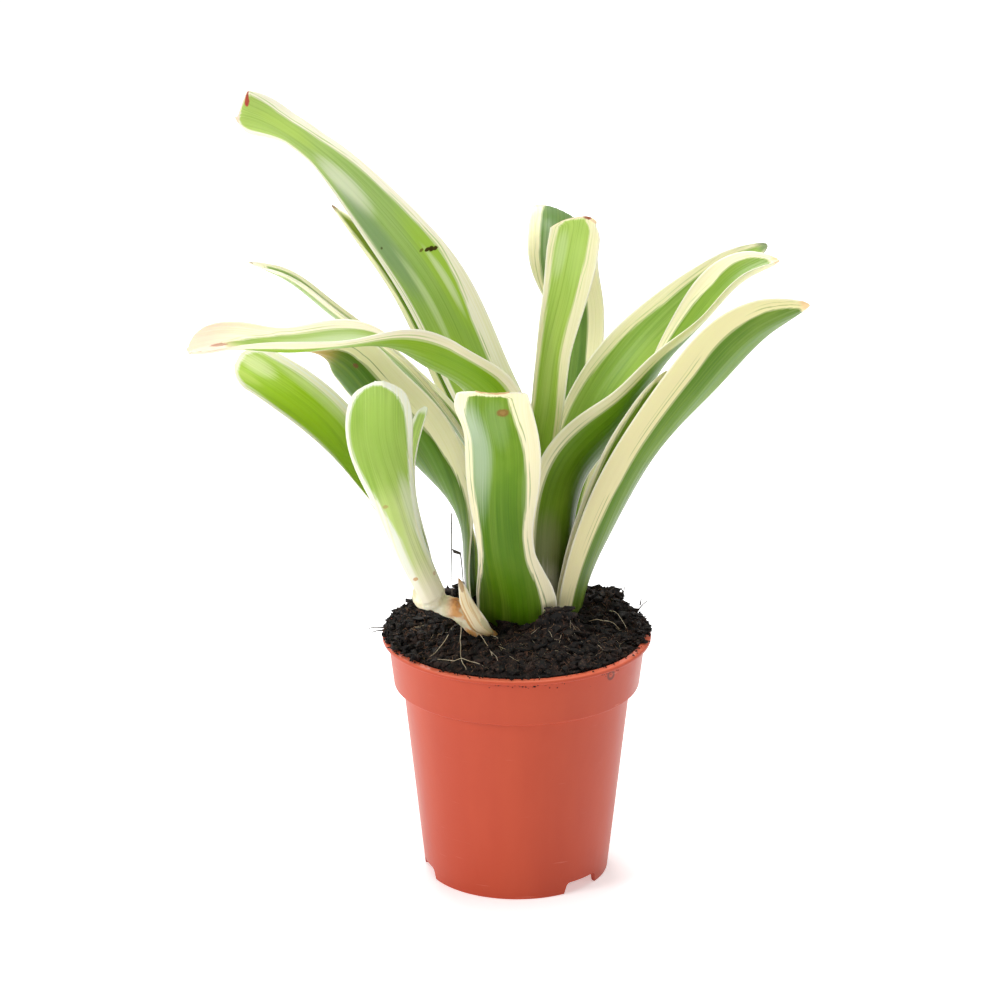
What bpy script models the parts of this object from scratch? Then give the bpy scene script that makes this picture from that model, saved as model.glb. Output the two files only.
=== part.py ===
"""Variegated bromeliad with one offset shoot, standing in its round plastic nursery pot.

Sizes below are in millimetres and MM turns them into metres. The plant is laid out in
the pot's own frame: the pot's axis is Z, its foot stands on Z = 0, and the front of the
plant looks towards -Y. At the end the whole plant is shifted sideways, so that the
origin is the middle of its footprint on the surface it stands on.
"""
import math

import bpy
import numpy as np
from mathutils import Matrix, Vector, noise

MM = 0.001
CLEARANCE = 0.3

# Pot: a 9 cm round nursery pot with a stepped collar and a small outer lip
FOOT_RADIUS = 31.0
BODY_TOP_RADIUS = 38.2
COLLAR_BOTTOM_RADIUS = 41.2
COLLAR_TOP_RADIUS = 43.0
LIP_RADIUS = 45.0
COLLAR_BOTTOM = 66.8
LIP_BOTTOM = 82.4
POT_HEIGHT = 83.8
TAPER = (BODY_TOP_RADIUS - FOOT_RADIUS) / COLLAR_BOTTOM
FOOT_WIDTH = 1.6
EDGE = 0.5
WALL = 0.9
FLOOR_BOTTOM = 4.0
FLOOR_TOP = 5.0
NOTCH_HEIGHT = 4.0
NOTCH_WIDTH = 14.4
NOTCH_ANGLES = (-45.2, 74.8, 194.8)
DRAIN_RADIUS = 3.5
DRAIN_CIRCLE = 22.0
POT_SIDES = 72
DRAIN_SIDES = 20

# Soil: filled to the lip and mounded towards the crown
SOIL_EDGE_HEIGHT = 83.2
SOIL_MOUND = 5.5
SOIL_ROUNDNESS = 6
SOIL_LUMP_HEIGHT = 1.1
SOIL_LUMP_SIZE = 7.0
SOIL_GAP = 0.5
SOIL_RINGS = 13
SOIL_SIDES = 52
# heaps of soil: x, y, height, spread
SOIL_HEAPS = (
    (3.0, 8.0, 4.0, 14.0),
    (12.0, -15.0, 6.0, 4.5),
    (-17.0, 17.0, 3.0, 5.0),
    (-33.0, 12.0, 4.5, 6.0),
    (-30.0, -8.0, 1.5, 7.0),
    (33.0, 17.0, 3.0, 6.0),
)

# Crown: the leaf bases stand round this axis on a short stem
CROWN_X = 3.0
CROWN_Y = 6.0
LEAF_FOOT = 83.0
STEM_BOTTOM = 76.0
STEM_DISC_DROP = 1.6
STEM_DISC_RADIUS = 17.8
STEM_NECK_RADIUS = 7.0
STEM_TOP = 101.0
PIT_BOTTOM_RADIUS = 18.4
PIT_TOP_RADIUS = 22.8
PIT_TOP = 103.0

# Blades
BLADE_THICKNESS = 0.8
OFFSET_BLADE_THICKNESS = 0.6
ALONG = 22
ACROSS = 6

# One entry for each leaf of the crown. azimuth is the side it grows to, in degrees from
# +X towards +Y, ring is the radius of its sheath round the crown, foot_width its width
# there. Each station is x, y, z, width, cup and roll: cup is half the angle of the arc
# across the blade, and roll turns the blade about its own length. tip is the length of
# the rounded end and blunt the share of the width that is left at the very tip.
LEAVES = {
    "leaf_front": dict(
        azimuth=-107, ring=17.0, foot_width=28, tip=5, blunt=0.5, wave=(0.5, 48, 0.4),
        stations=(
            (-1.8, -13.2, 98, 31, 46, 0), (-4.3, -17, 115, 21.5, 42, 0), (-6, -22, 138, 24, 40, 0),
            (-6, -31, 158, 26, 38, 0), (-8, -44, 174, 26, 28, 8), (-8, -58, 186, 24, 12, 10))),
    "leaf_right_front": dict(
        azimuth=-15, ring=17.0, foot_width=24, tip=14, blunt=0.12, wave=(0.3, 60, 0.0),
        stations=(
            (23, 1, 101, 26, 44, -6), (28, -1, 116, 26, 44, -16), (41, -3, 145, 26, 42, -28),
            (60, -7, 173, 26, 40, -42), (78, -11, 193.5, 22.5, 38, -46), (94, -14, 202, 11, 30, -45))),
    "leaf_right_short": dict(
        azimuth=-25, ring=15.7, foot_width=18, foot_turn=4, tip=10, blunt=0.12, wave=(0.2, 40, 0.0),
        stations=(
            (20, 2.6, 104, 20, 36, 6), (29.6, 3.2, 128.5, 21, 40, -14), (40, 3, 151.5, 18, 40, -28),
            (46.5, 2, 166, 13, 35, -32), (49, 1, 175, 7, 25, -32))),
    "leaf_right_broad": dict(
        azimuth=10, ring=14.4, foot_width=28, foot_turn=-40, tip=9, blunt=0.3, wave=(0.5, 42, 1.2),
        stations=(
            (13.9, -1.6, 101, 27, 58, -44), (14.4, -1.6, 117, 28, 56, -52), (19.4, 4.8, 139, 28, 46, -58),
            (37, 9, 158, 26, 44, -46), (49, 11, 175, 25, 48, -18), (62, 13, 190.5, 26, 50, 0),
            (74, 15, 203, 25, 48, 2), (86, 17, 208, 15, 36, 4))),
    "leaf_right_back": dict(
        azimuth=54, ring=15.7, foot_width=21, tip=14, blunt=0.12, wave=(0.4, 50, 2.0),
        stations=(
            (14, 23, 105, 22, 34, 0), (20, 35, 130, 23, 28, 0), (28, 38, 150, 25, 34, 0),
            (42, 39, 171, 23, 36, 2), (58, 41, 187, 19, 35, 6), (73, 43, 198.5, 13, 35, 10),
            (84, 44, 206, 7, 30, 5))),
    "leaf_back": dict(
        azimuth=80, ring=17.0, foot_width=21, tip=12, blunt=0.12, wave=(0.4, 55, 0.5),
        stations=(
            (8, 28, 105, 22, 34, 0), (17, 46, 133, 22, 28, 0), (19.5, 56, 160, 21, 24, 0),
            (19.5, 60, 182, 20.5, 20, 2), (15.8, 61, 198, 24, 8, 12), (16, 66, 202.5, 24, -16, 22),
            (16, 79, 205, 19, -20, 24), (17, 89, 198, 9, -20, 24))),
    "leaf_centre": dict(
        azimuth=60, ring=9.0, foot_width=16, tip=7, blunt=0.6, wave=(0.4, 45, 0.0),
        slant=(7.0, 16.0),
        stations=(
            (8, 13, 105, 16, 56, 0), (7, 14, 133, 15, 65, 15), (10, 14, 161, 13, 60, 35),
            (12, 14, 178, 13, 50, 32), (16, 14, 195, 16, 36, 10), (19, 13, 211, 20, 30, 0),
            (21.5, 10, 226.5, 20, 30, -10))),
    "leaf_left_tall": dict(
        azimuth=155, ring=13.0, foot_width=23, tip=6, blunt=0.35, wave=(0.5, 70, 0.0),
        slant=(-4.0, 10.0),
        stations=(
            (-8, 10.5, 105, 23, 56, 0), (-2, 14, 129, 26, 46, -12), (-13, 16, 165, 27, 30, -28),
            (-28, 18, 198, 26, 26, -30), (-46, 20, 222, 23, 26, -25), (-63, 21, 240, 21, 30, -5),
            (-75, 20, 250, 19, 30, 0), (-85, 18, 256, 18, 26, -20), (-92, 15, 259, 15, 18, -30))),
    "leaf_left_narrow": dict(
        azimuth=120, ring=15.8, foot_width=13, tip=14, blunt=0.12, wave=(0.2, 50, 0.0),
        stations=(
            (-5.5, 21, 105, 15, 27, 0), (-12, 34, 137, 17, 32, 0), (-25, 40, 167, 16, 35, 0),
            (-38, 44, 190, 11.5, 35, 0), (-51, 46, 207, 7, 35, 0), (-62, 47, 219, 2.4, 35, 0))),
    "leaf_left_slender": dict(
        azimuth=165, ring=14.4, foot_width=19, tip=14, blunt=0.12, wave=(0.3, 45, 1.0),
        stations=(
            (-11.5, 10, 105, 20, 40, 0), (-13, 17, 135, 20, 42, 8), (-29, 21, 159, 20, 45, 18),
            (-46, 24, 175, 18, 50, 20), (-64, 26, 189, 15, 50, 16), (-77, 28, 199, 12, 45, 10),
            (-89, 29, 204, 5, 30, 5))),
    "leaf_left_arching": dict(
        azimuth=-150, ring=15.7, foot_width=20, tip=8, blunt=0.4, wave=(0.9, 38, 0.6),
        stations=(
            (-11.5, -4.5, 104, 20, 38, 0), (-9.5, -8, 130, 20, 40, 8), (-10, -11, 170, 22, 42, 30),
            (-26, -14, 182, 24, 44, 32), (-42, -17, 189, 24, 50, 10), (-59, -20, 190, 23, 56, 0),
            (-76, -24, 190, 22, 56, -5), (-94, -27, 192, 20, 48, -6), (-105, -30, 190.5, 15, 36, -5))),
    "leaf_left_dark": dict(
        azimuth=172, ring=17.0, foot_width=18, tip=8, blunt=0.12, wave=(0.3, 50, 0.0),
        stations=(
            (-17, 9, 100, 19, 33, 0), (-18, 10, 115, 20, 34, 8), (-24, 9, 133, 23, 33, 50),
            (-35, 6.5, 154, 23.5, 33, 76), (-49, 4, 170.5, 22, 34, 80), (-58, 2, 180, 17, 36, 70),
            (-65, 1, 182, 9, 36, 45), (-71, -1, 182.5, 4.5, 36, 30))),
}

# Offset shoot: a small rosette on a short stolon, to the front left of the crown
OFFSET_X = -29.0
OFFSET_Y = -16.0
OFFSET_FOOT = 103.6
OFFSET_LEAVES = {
    "offset_leaf_outer": dict(
        azimuth=160, ring=4.2, foot_width=14, tip=7, blunt=0.35, wave=(0.3, 40, 0.0),
        stations=(
            (-38.2, -14, 120, 18, 76, 0), (-48, -12, 138, 19, 55, -10), (-59, -11, 157, 20, 35, -25),
            (-74, -10, 171, 20, 28, -32), (-91, -9, 182, 17, 22, -35))),
    "offset_leaf_front": dict(
        azimuth=-55, ring=5.5, foot_width=11, tip=8, blunt=0.35, wave=(0.2, 40, 0.0),
        stations=(
            (-33.6, -22.9, 123, 14, 56, 0), (-38.9, -26.2, 142, 18.4, 48, -10), (-44, -29, 162, 23, 34, -28),
            (-44, -33, 177, 17, 28, -30), (-44, -36, 183, 9, 24, -30))),
    "offset_leaf_inner": dict(
        azimuth=30, ring=3.2, foot_width=5, tip=4, blunt=0.45, wave=(0.1, 40, 0.0),
        stations=(
            (-29.8, -12.9, 120, 5, 36, 0), (-33.6, -12, 136, 7, 46, 0), (-33.6, -10.2, 152, 9, 45, 0),
            (-29.5, -8, 165.5, 6, 40, 0))),
}
# dry papery scale that stands on the stolon: x, y, z, width, cup, roll
BRACT = dict(
    azimuth=-100, tip=4, blunt=0.2, wave=(0.3, 14, 0.0),
    stations=(
        (-8.8, -21.7, 91.0, 3.5, 30, 0), (-12.4, -22.8, 94.5, 6.8, 31, 0), (-14.6, -22.8, 98.3, 6.2, 32, 0),
        (-16.6, -22.0, 102.4, 4.8, 30, 0), (-17.9, -20.7, 106.9, 2.8, 28, 0), (-19.2, -19.2, 110.2, 1.2, 28, 0)))
# swollen foot of the shoot, with the neck inside its sheaths: radius, height
OFFSET_BULB = (
    (0.0, 98.5), (2.6, 98.8), (4.6, 99.9), (5.4, 101.2), (4.9, 101.6), (1.3, 102.0),
    (1.1, 106.0), (0.6, 107.6), (0.0, 108.0))
# stolon that joins the shoot to the crown: x, y, z, radius
STOLON = (
    (-28, -16, 99.9, 2.0), (-24.8, -16.2, 99.6, 3.2), (-18.8, -16.8, 97.6, 3.6),
    (-14.9, -17, 93.8, 3.5), (-11.5, -16.6, 90.0, 3.3), (-7.5, -15.6, 86.0, 3.0),
    (-5, -15, 82.0, 2.7))
STOLON_SIDES = 20


def clear_scene():
    for item in list(bpy.data.objects):
        bpy.data.objects.remove(item, do_unlink=True)


def make_material(name, color, roughness, metallic=0.0):
    material = bpy.data.materials.new(name)
    material.use_nodes = True
    shader = material.node_tree.nodes["Principled BSDF"]
    shader.inputs["Base Color"].default_value = (*color, 1.0)
    shader.inputs["Roughness"].default_value = roughness
    shader.inputs["Metallic"].default_value = metallic
    return material


def new_object(name, mesh, material, parent):
    part = bpy.data.objects.new(name, mesh)
    bpy.context.scene.collection.objects.link(part)
    mesh.materials.append(material)
    part.parent = parent
    return part


def mesh_from(name, points, faces):
    """A mesh from points in millimetres."""
    mesh = bpy.data.meshes.new(name)
    mesh.from_pydata([tuple(float(c) * MM for c in point) for point in points], [], faces)
    mesh.update()
    return mesh


def smooth_by_angle(mesh, degrees):
    mesh.shade_smooth()
    mesh.set_sharp_from_angle(angle=math.radians(degrees))


def solid_of_revolution(profile, sides, x=0.0, y=0.0):
    """A solid whose profile starts and ends on the axis, turned about the axis at x, y."""
    rings = [point for point in profile if point[0] > 0]
    points = [(x, y, profile[0][1])]
    for radius, height in rings:
        for step in range(sides):
            angle = 2 * math.pi * step / sides
            points.append((x + radius * math.cos(angle), y + radius * math.sin(angle), height))
    points.append((x, y, profile[-1][1]))
    last = len(points) - 1
    faces = []
    for step in range(sides):
        after = (step + 1) % sides
        faces.append((0, 1 + after, 1 + step))
        for ring in range(len(rings) - 1):
            low, high = 1 + ring * sides, 1 + (ring + 1) * sides
            faces.append((low + step, low + after, high + after, high + step))
        top = 1 + (len(rings) - 1) * sides
        faces.append((top + step, top + after, last))
    return points, faces


def add_cutter(name, points, faces, parent):
    cutter = bpy.data.objects.new(name, mesh_from(name, points, faces))
    bpy.context.scene.collection.objects.link(cutter)
    cutter.parent = parent
    cutter.hide_render = True
    cutter.display_type = "WIRE"
    return cutter


def cut(part, cutter):
    boolean = part.modifiers.new(cutter.name, "BOOLEAN")
    boolean.operation = "DIFFERENCE"
    boolean.solver = "EXACT"
    boolean.object = cutter


def pot_profile():
    """The pot's outline from the middle of its underside, up the outside and down the inside."""
    inner_step = COLLAR_BOTTOM + WALL
    floor_radius = FOOT_RADIUS + TAPER * FLOOR_TOP - WALL
    return [
        (0.0, FLOOR_BOTTOM),
        (FOOT_RADIUS - FOOT_WIDTH, FLOOR_BOTTOM),
        (FOOT_RADIUS - FOOT_WIDTH, 0.0),
        (FOOT_RADIUS - EDGE, 0.0),
        (FOOT_RADIUS, EDGE),
        (BODY_TOP_RADIUS, COLLAR_BOTTOM),
        (COLLAR_BOTTOM_RADIUS - EDGE, COLLAR_BOTTOM),
        (COLLAR_BOTTOM_RADIUS, COLLAR_BOTTOM + EDGE),
        (COLLAR_TOP_RADIUS, LIP_BOTTOM),
        (LIP_RADIUS - EDGE, LIP_BOTTOM),
        (LIP_RADIUS, LIP_BOTTOM + EDGE),
        (LIP_RADIUS - EDGE, POT_HEIGHT),
        (COLLAR_TOP_RADIUS - WALL + EDGE, POT_HEIGHT),
        (COLLAR_TOP_RADIUS - WALL, POT_HEIGHT - EDGE),
        (COLLAR_BOTTOM_RADIUS - WALL, inner_step + EDGE),
        (BODY_TOP_RADIUS - WALL, inner_step - EDGE),
        (floor_radius, FLOOR_TOP),
        (0.0, FLOOR_TOP),
    ]


def build_pot(material, parent):
    mesh = mesh_from("pot", *solid_of_revolution(pot_profile(), POT_SIDES))
    pot = new_object("pot", mesh, material, parent)
    drain = [(0.0, FLOOR_BOTTOM - 2), (DRAIN_RADIUS, FLOOR_BOTTOM - 2),
             (DRAIN_RADIUS, FLOOR_TOP + 2), (0.0, FLOOR_TOP + 2)]
    for number, degrees in enumerate(NOTCH_ANGLES):
        angle = math.radians(degrees)
        cut(pot, notch_cutter(f"notch_cutter_{number}", angle, parent))
        x, y = DRAIN_CIRCLE * math.cos(angle), DRAIN_CIRCLE * math.sin(angle)
        hole = solid_of_revolution(drain, DRAIN_SIDES, x, y)
        cut(pot, add_cutter(f"drain_cutter_{number}", *hole, parent))
    smooth_by_angle(mesh, 35)
    return pot


def notch_cutter(name, angle, parent):
    """A low arch with leaning sides, cut through the foot ring."""
    half = NOTCH_WIDTH / 2
    outline = [(-half - 0.6, -1.0), (half + 0.6, -1.0), (half - 0.8, NOTCH_HEIGHT - 0.9),
               (half - 2.0, NOTCH_HEIGHT), (-half + 2.0, NOTCH_HEIGHT),
               (-half + 0.8, NOTCH_HEIGHT - 0.9)]
    inner, outer = FOOT_RADIUS - 5.0, FOOT_RADIUS + 3.0
    turn = Matrix.Rotation(angle, 4, "Z")
    points = [turn @ Vector((reach, side, height))
              for reach in (inner, outer) for side, height in outline]
    count = len(outline)
    faces = [tuple(reversed(range(count))), tuple(range(count, 2 * count))]
    for i in range(count):
        j = (i + 1) % count
        faces.append((i, j, count + j, count + i))
    return add_cutter(name, points, faces, parent)


def soil_height(x, y):
    """The height of the soil's surface, lumps included."""
    reach = math.hypot(x, y) / (COLLAR_TOP_RADIUS - WALL)
    height = SOIL_EDGE_HEIGHT + SOIL_MOUND * (1 - min(reach, 1.0) ** SOIL_ROUNDNESS)
    for heap_x, heap_y, rise, spread in SOIL_HEAPS:
        height += rise * math.exp(-((x - heap_x) ** 2 + (y - heap_y) ** 2) / (2 * spread ** 2))
    fade = 1 - min(reach, 1.0) ** 12
    lump = noise.noise(Vector((x / SOIL_LUMP_SIZE, y / SOIL_LUMP_SIZE, 3.7)))
    fine = noise.noise(Vector((x / 3.0, y / 3.0, 9.1)))
    return height + fade * SOIL_LUMP_HEIGHT * (1.6 * lump + 0.8 * fine)


def build_soil(material, parent):
    """The filling of the pot: it follows the wall inside and is lumpy on top."""
    bottom = FLOOR_TOP + CLEARANCE
    gap = WALL + SOIL_GAP
    side = [(FOOT_RADIUS + TAPER * bottom - gap, bottom),
            (BODY_TOP_RADIUS - gap, COLLAR_BOTTOM + 0.6),
            (COLLAR_BOTTOM_RADIUS - gap, COLLAR_BOTTOM + 2.0)]
    edge = COLLAR_TOP_RADIUS - gap - 0.1
    side.append((edge, SOIL_EDGE_HEIGHT - 1.0))
    angles = [2 * math.pi * step / SOIL_SIDES for step in range(SOIL_SIDES)]
    points = [(0.0, 0.0, bottom)]
    for radius, height in side:
        points += [(radius * math.cos(a), radius * math.sin(a), height) for a in angles]
    rings = len(side)
    for ring in range(SOIL_RINGS):
        radius = edge * (1 - ring / SOIL_RINGS)
        for step, angle in enumerate(angles):
            turned = angle + (math.pi / SOIL_SIDES if ring % 2 else 0.0)
            x, y = radius * math.cos(turned), radius * math.sin(turned)
            points.append((x, y, soil_height(x, y)))
    rings += SOIL_RINGS
    points.append((0.0, 0.0, soil_height(0.0, 0.0)))
    last = len(points) - 1
    faces = []
    for step in range(SOIL_SIDES):
        after = (step + 1) % SOIL_SIDES
        faces.append((0, 1 + after, 1 + step))
        for ring in range(rings - 1):
            low, high = 1 + ring * SOIL_SIDES, 1 + (ring + 1) * SOIL_SIDES
            faces.append((low + step, low + after, high + step))
            faces.append((low + after, high + after, high + step))
        top = 1 + (rings - 1) * SOIL_SIDES
        faces.append((top + step, top + after, last))
    mesh = mesh_from("soil", points, faces)
    soil = new_object("soil", mesh, material, parent)
    pit = [(0.0, STEM_BOTTOM - CLEARANCE), (STEM_DISC_RADIUS + 0.6, STEM_BOTTOM - CLEARANCE),
           (PIT_BOTTOM_RADIUS, LEAF_FOOT - 1.0), (PIT_TOP_RADIUS, PIT_TOP), (0.0, PIT_TOP)]
    cut(soil, add_cutter("pit_cutter", *solid_of_revolution(pit, 40, CROWN_X, CROWN_Y), parent))
    widened = [(x, y, z, radius + 0.5) for x, y, z, radius in STOLON[:-1]]
    x, y, z, radius = STOLON[-1]
    widened.append((x + 0.3, y + 0.1, z - 0.6, radius + 0.5))
    cut(soil, add_cutter("stolon_cutter", *tube(widened, STOLON_SIDES), parent))
    smooth_by_angle(mesh, 60)
    return soil


def build_stem(material, parent):
    """The short stem inside the crown, with the disc that the leaf bases grow from."""
    disc_top = LEAF_FOOT - STEM_DISC_DROP
    profile = [(0.0, STEM_BOTTOM), (STEM_DISC_RADIUS - 3.0, STEM_BOTTOM),
               (STEM_DISC_RADIUS, STEM_BOTTOM + 3.0), (STEM_DISC_RADIUS, disc_top),
               (STEM_NECK_RADIUS, disc_top), (STEM_NECK_RADIUS, STEM_TOP - 6.0),
               (STEM_NECK_RADIUS * 0.72, STEM_TOP - 2.0), (STEM_NECK_RADIUS * 0.35, STEM_TOP - 0.4),
               (0.0, STEM_TOP)]
    points, faces = solid_of_revolution(profile, 36, CROWN_X, CROWN_Y)
    mesh = mesh_from("crown_stem", points, faces)
    smooth_by_angle(mesh, 50)
    return new_object("crown_stem", mesh, material, parent)


def natural_cubic(knots, values, at):
    """Values at the places `at` of the natural cubic curve through the stations."""
    count = len(knots)
    gaps = np.diff(knots)
    system = np.eye(count)
    right = np.zeros_like(values)
    for i in range(1, count - 1):
        system[i, i - 1:i + 2] = gaps[i - 1] / 6, (gaps[i - 1] + gaps[i]) / 3, gaps[i] / 6
        right[i] = (values[i + 1] - values[i]) / gaps[i] - (values[i] - values[i - 1]) / gaps[i - 1]
    bend = np.linalg.solve(system, right)
    i = np.clip(np.searchsorted(knots, at) - 1, 0, count - 2)
    before = ((knots[i + 1] - at) / gaps[i])[:, None]
    after = 1 - before
    size = (gaps[i] ** 2)[:, None] / 6
    curve = before * values[i] + after * values[i + 1]
    return curve + size * ((before ** 3 - before) * bend[i] + (after ** 3 - after) * bend[i + 1])


def blade_surface(leaf, foot=None):
    """Points and normals of the blade's middle surface, as arrays along and across it."""
    rows = ([foot] if foot else []) + list(leaf["stations"])
    table = np.array(rows, dtype=float)
    steps = np.linalg.norm(np.diff(table[:, :3], axis=0), axis=1)
    knots = np.concatenate([[0.0], np.cumsum(steps)])
    length = knots[-1]
    at = length * (1 - (1 - np.linspace(0, 1, ALONG)) ** 1.25)
    curve = natural_cubic(knots, table, at)
    shape = np.clip(curve[:, 3:], table[:, 3:].min(axis=0), table[:, 3:].max(axis=0))
    centre = curve[:, :3]
    width, cup, roll = shape[:, 0], np.radians(shape[:, 1]), np.radians(shape[:, 2])
    along = np.gradient(centre, at, axis=0)
    along /= np.linalg.norm(along, axis=1, keepdims=True)
    azimuth = math.radians(leaf["azimuth"])
    level = np.array([-math.sin(azimuth), math.cos(azimuth), 0.0])
    side = level - (along @ level)[:, None] * along
    side /= np.linalg.norm(side, axis=1, keepdims=True)
    up = np.cross(along, side)
    side, up = (side * np.cos(roll)[:, None] + up * np.sin(roll)[:, None],
                up * np.cos(roll)[:, None] - side * np.sin(roll)[:, None])
    rest = np.clip((length - at) / leaf["tip"], 0, 1)
    width = width * np.maximum(np.sqrt(1 - (1 - rest) ** 2), leaf["blunt"])
    place = np.linspace(-1, 1, ACROSS + 1)
    radius = (width / (2 * cup))[:, None]
    turn = cup[:, None] * place[None, :]
    height, reach, phase = leaf["wave"]
    swing = np.where(place > 0, 1.0, -0.8)[None, :] * np.abs(place)[None, :] ** 2.5
    ripple = height * np.sin(2 * np.pi * at / reach + phase) * np.clip((at - 30) / 30, 0, 1)
    lift = radius * (1 - np.cos(turn)) + ripple[:, None] * swing
    points = (centre[:, None, :] + side[:, None, :] * (radius * np.sin(turn))[..., None]
              + up[:, None, :] * lift[..., None])
    normals = (up[:, None, :] * np.cos(turn)[..., None]
               - side[:, None, :] * np.sin(turn)[..., None])
    # a slanted end is shorter on one margin than on the other
    slant, slant_reach = leaf.get("slant", (0.0, 1.0))
    near_tip = np.clip((at - length + slant_reach) / slant_reach, 0, 1) ** 1.5
    for column, across in enumerate(place):
        shorter = at - near_tip * abs(slant) * (1 + math.copysign(1, slant) * across) / 2
        for grid in (points, normals):
            for axis in range(3):
                grid[:, column, axis] = np.interp(shorter, at, grid[:, column, axis])
    return points, normals


def blade_mesh(name, leaf, thickness, foot=None):
    """A closed blade of even thickness, split into the same triangles on both faces."""
    points, normals = blade_surface(leaf, foot)
    rows, columns = points.shape[:2]
    upper = (points + normals * thickness / 2).reshape(-1, 3)
    lower = (points - normals * thickness / 2).reshape(-1, 3)
    under = rows * columns
    faces = []
    for i in range(rows - 1):
        for j in range(columns - 1):
            a, b = i * columns + j, i * columns + j + 1
            c, d = b + columns, a + columns
            faces += [(a, c, b), (a, d, c), (under + a, under + b, under + c),
                      (under + a, under + c, under + d)]
    rim = [(0, j) for j in range(columns)] + [(i, columns - 1) for i in range(1, rows)]
    rim += [(rows - 1, j) for j in range(columns - 2, -1, -1)]
    rim += [(i, 0) for i in range(rows - 2, 0, -1)]
    loop = [i * columns + j for i, j in rim]
    for here, there in zip(loop, loop[1:] + loop[:1]):
        faces += [(here, there, under + there), (here, under + there, under + here)]
    mesh = mesh_from(name, np.vstack([upper, lower]), faces)
    smooth_by_angle(mesh, 50)
    return mesh


def sheath_foot(leaf, x, y, height):
    """The lowest station: an arc of the leaf's ring round the axis at x, y."""
    turn = leaf.get("foot_turn", 0)
    angle = math.radians(leaf["azimuth"] + turn)
    cup = math.degrees(leaf["foot_width"] / 2 / leaf["ring"])
    return (x + leaf["ring"] * math.cos(angle), y + leaf["ring"] * math.sin(angle), height,
            leaf["foot_width"], cup, turn)


def tube(stations, sides):
    """Points and faces of a closed round tube through stations of x, y, z and radius."""
    table = np.array(stations, dtype=float)
    steps = np.linalg.norm(np.diff(table[:, :3], axis=0), axis=1)
    knots = np.concatenate([[0.0], np.cumsum(steps)])
    at = np.linspace(0, knots[-1], 3 * len(stations))
    curve = natural_cubic(knots, table, at)
    along = np.gradient(curve[:, :3], at, axis=0)
    along /= np.linalg.norm(along, axis=1, keepdims=True)
    across = np.cross(along, np.array([0.0, 1.0, 0.0]))
    across /= np.linalg.norm(across, axis=1, keepdims=True)
    other = np.cross(along, across)
    points = [tuple(curve[0, :3])]
    for row in range(len(at)):
        for step in range(sides):
            angle = 2 * math.pi * step / sides
            offset = across[row] * math.cos(angle) + other[row] * math.sin(angle)
            points.append(tuple(curve[row, :3] + curve[row, 3] * offset))
    points.append(tuple(curve[-1, :3]))
    return points, tube_faces(len(at), sides)


def tube_faces(rows, sides):
    last = rows * sides + 1
    faces = []
    for step in range(sides):
        after = (step + 1) % sides
        faces.append((0, 1 + after, 1 + step))
        for row in range(rows - 1):
            low, high = 1 + row * sides, 1 + (row + 1) * sides
            faces.append((low + step, low + after, high + after, high + step))
        top = 1 + (rows - 1) * sides
        faces.append((top + step, top + after, last))
    return faces


def build_offset_stem(material, parent):
    """The shoot's swollen foot, fused with the stolon that leads into the soil."""
    points, faces = solid_of_revolution(OFFSET_BULB, STOLON_SIDES, OFFSET_X, OFFSET_Y)
    mesh = mesh_from("offset_stem", points, faces)
    stem = new_object("offset_stem", mesh, material, parent)
    joint = stem.modifiers.new("stolon", "BOOLEAN")
    joint.operation = "UNION"
    joint.solver = "EXACT"
    joint.object = add_cutter("stolon_guide", *tube(STOLON, STOLON_SIDES), parent)
    smooth_by_angle(mesh, 60)
    return stem


def move_to_footprint_middle(frame, parts):
    """Shift the frame so that the middle of the plant's footprint lies on the origin."""
    bpy.context.view_layer.update()
    corners = [part.matrix_world @ Vector(corner) for part in parts for corner in part.bound_box]
    low = [min(corner[axis] for corner in corners) for axis in (0, 1)]
    high = [max(corner[axis] for corner in corners) for axis in (0, 1)]
    frame.location = (-(low[0] + high[0]) / 2, -(low[1] + high[1]) / 2, 0.0)


def main():
    clear_scene()
    frame = bpy.data.objects.new("plant_frame", None)
    bpy.context.scene.collection.objects.link(frame)
    plastic = make_material("terracotta_plastic", (0.63, 0.13, 0.06), 0.38)
    peat = make_material("moist_peat", (0.012, 0.008, 0.006), 0.95)
    leaf_green = make_material("leaf_green", (0.22, 0.42, 0.06), 0.35)
    offset_green = make_material("offset_green", (0.40, 0.56, 0.16), 0.4)
    pale = make_material("pale_stem", (0.72, 0.66, 0.42), 0.5)
    papery = make_material("dry_scale", (0.70, 0.62, 0.45), 0.7)

    parts = [build_pot(plastic, frame), build_soil(peat, frame), build_stem(pale, frame)]
    for name, leaf in LEAVES.items():
        foot = sheath_foot(leaf, CROWN_X, CROWN_Y, LEAF_FOOT)
        mesh = blade_mesh(name, leaf, BLADE_THICKNESS, foot)
        parts.append(new_object(name, mesh, leaf_green, frame))
    parts.append(build_offset_stem(pale, frame))
    for name, leaf in OFFSET_LEAVES.items():
        foot = sheath_foot(leaf, OFFSET_X, OFFSET_Y, OFFSET_FOOT)
        mesh = blade_mesh(name, leaf, OFFSET_BLADE_THICKNESS, foot)
        parts.append(new_object(name, mesh, offset_green, frame))
    bract = blade_mesh("offset_bract", BRACT, OFFSET_BLADE_THICKNESS)
    parts.append(new_object("offset_bract", bract, papery, frame))
    move_to_footprint_middle(frame, parts)


main()
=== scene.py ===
import math
import random

import bpy
import numpy as np
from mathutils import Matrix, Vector, noise


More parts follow.
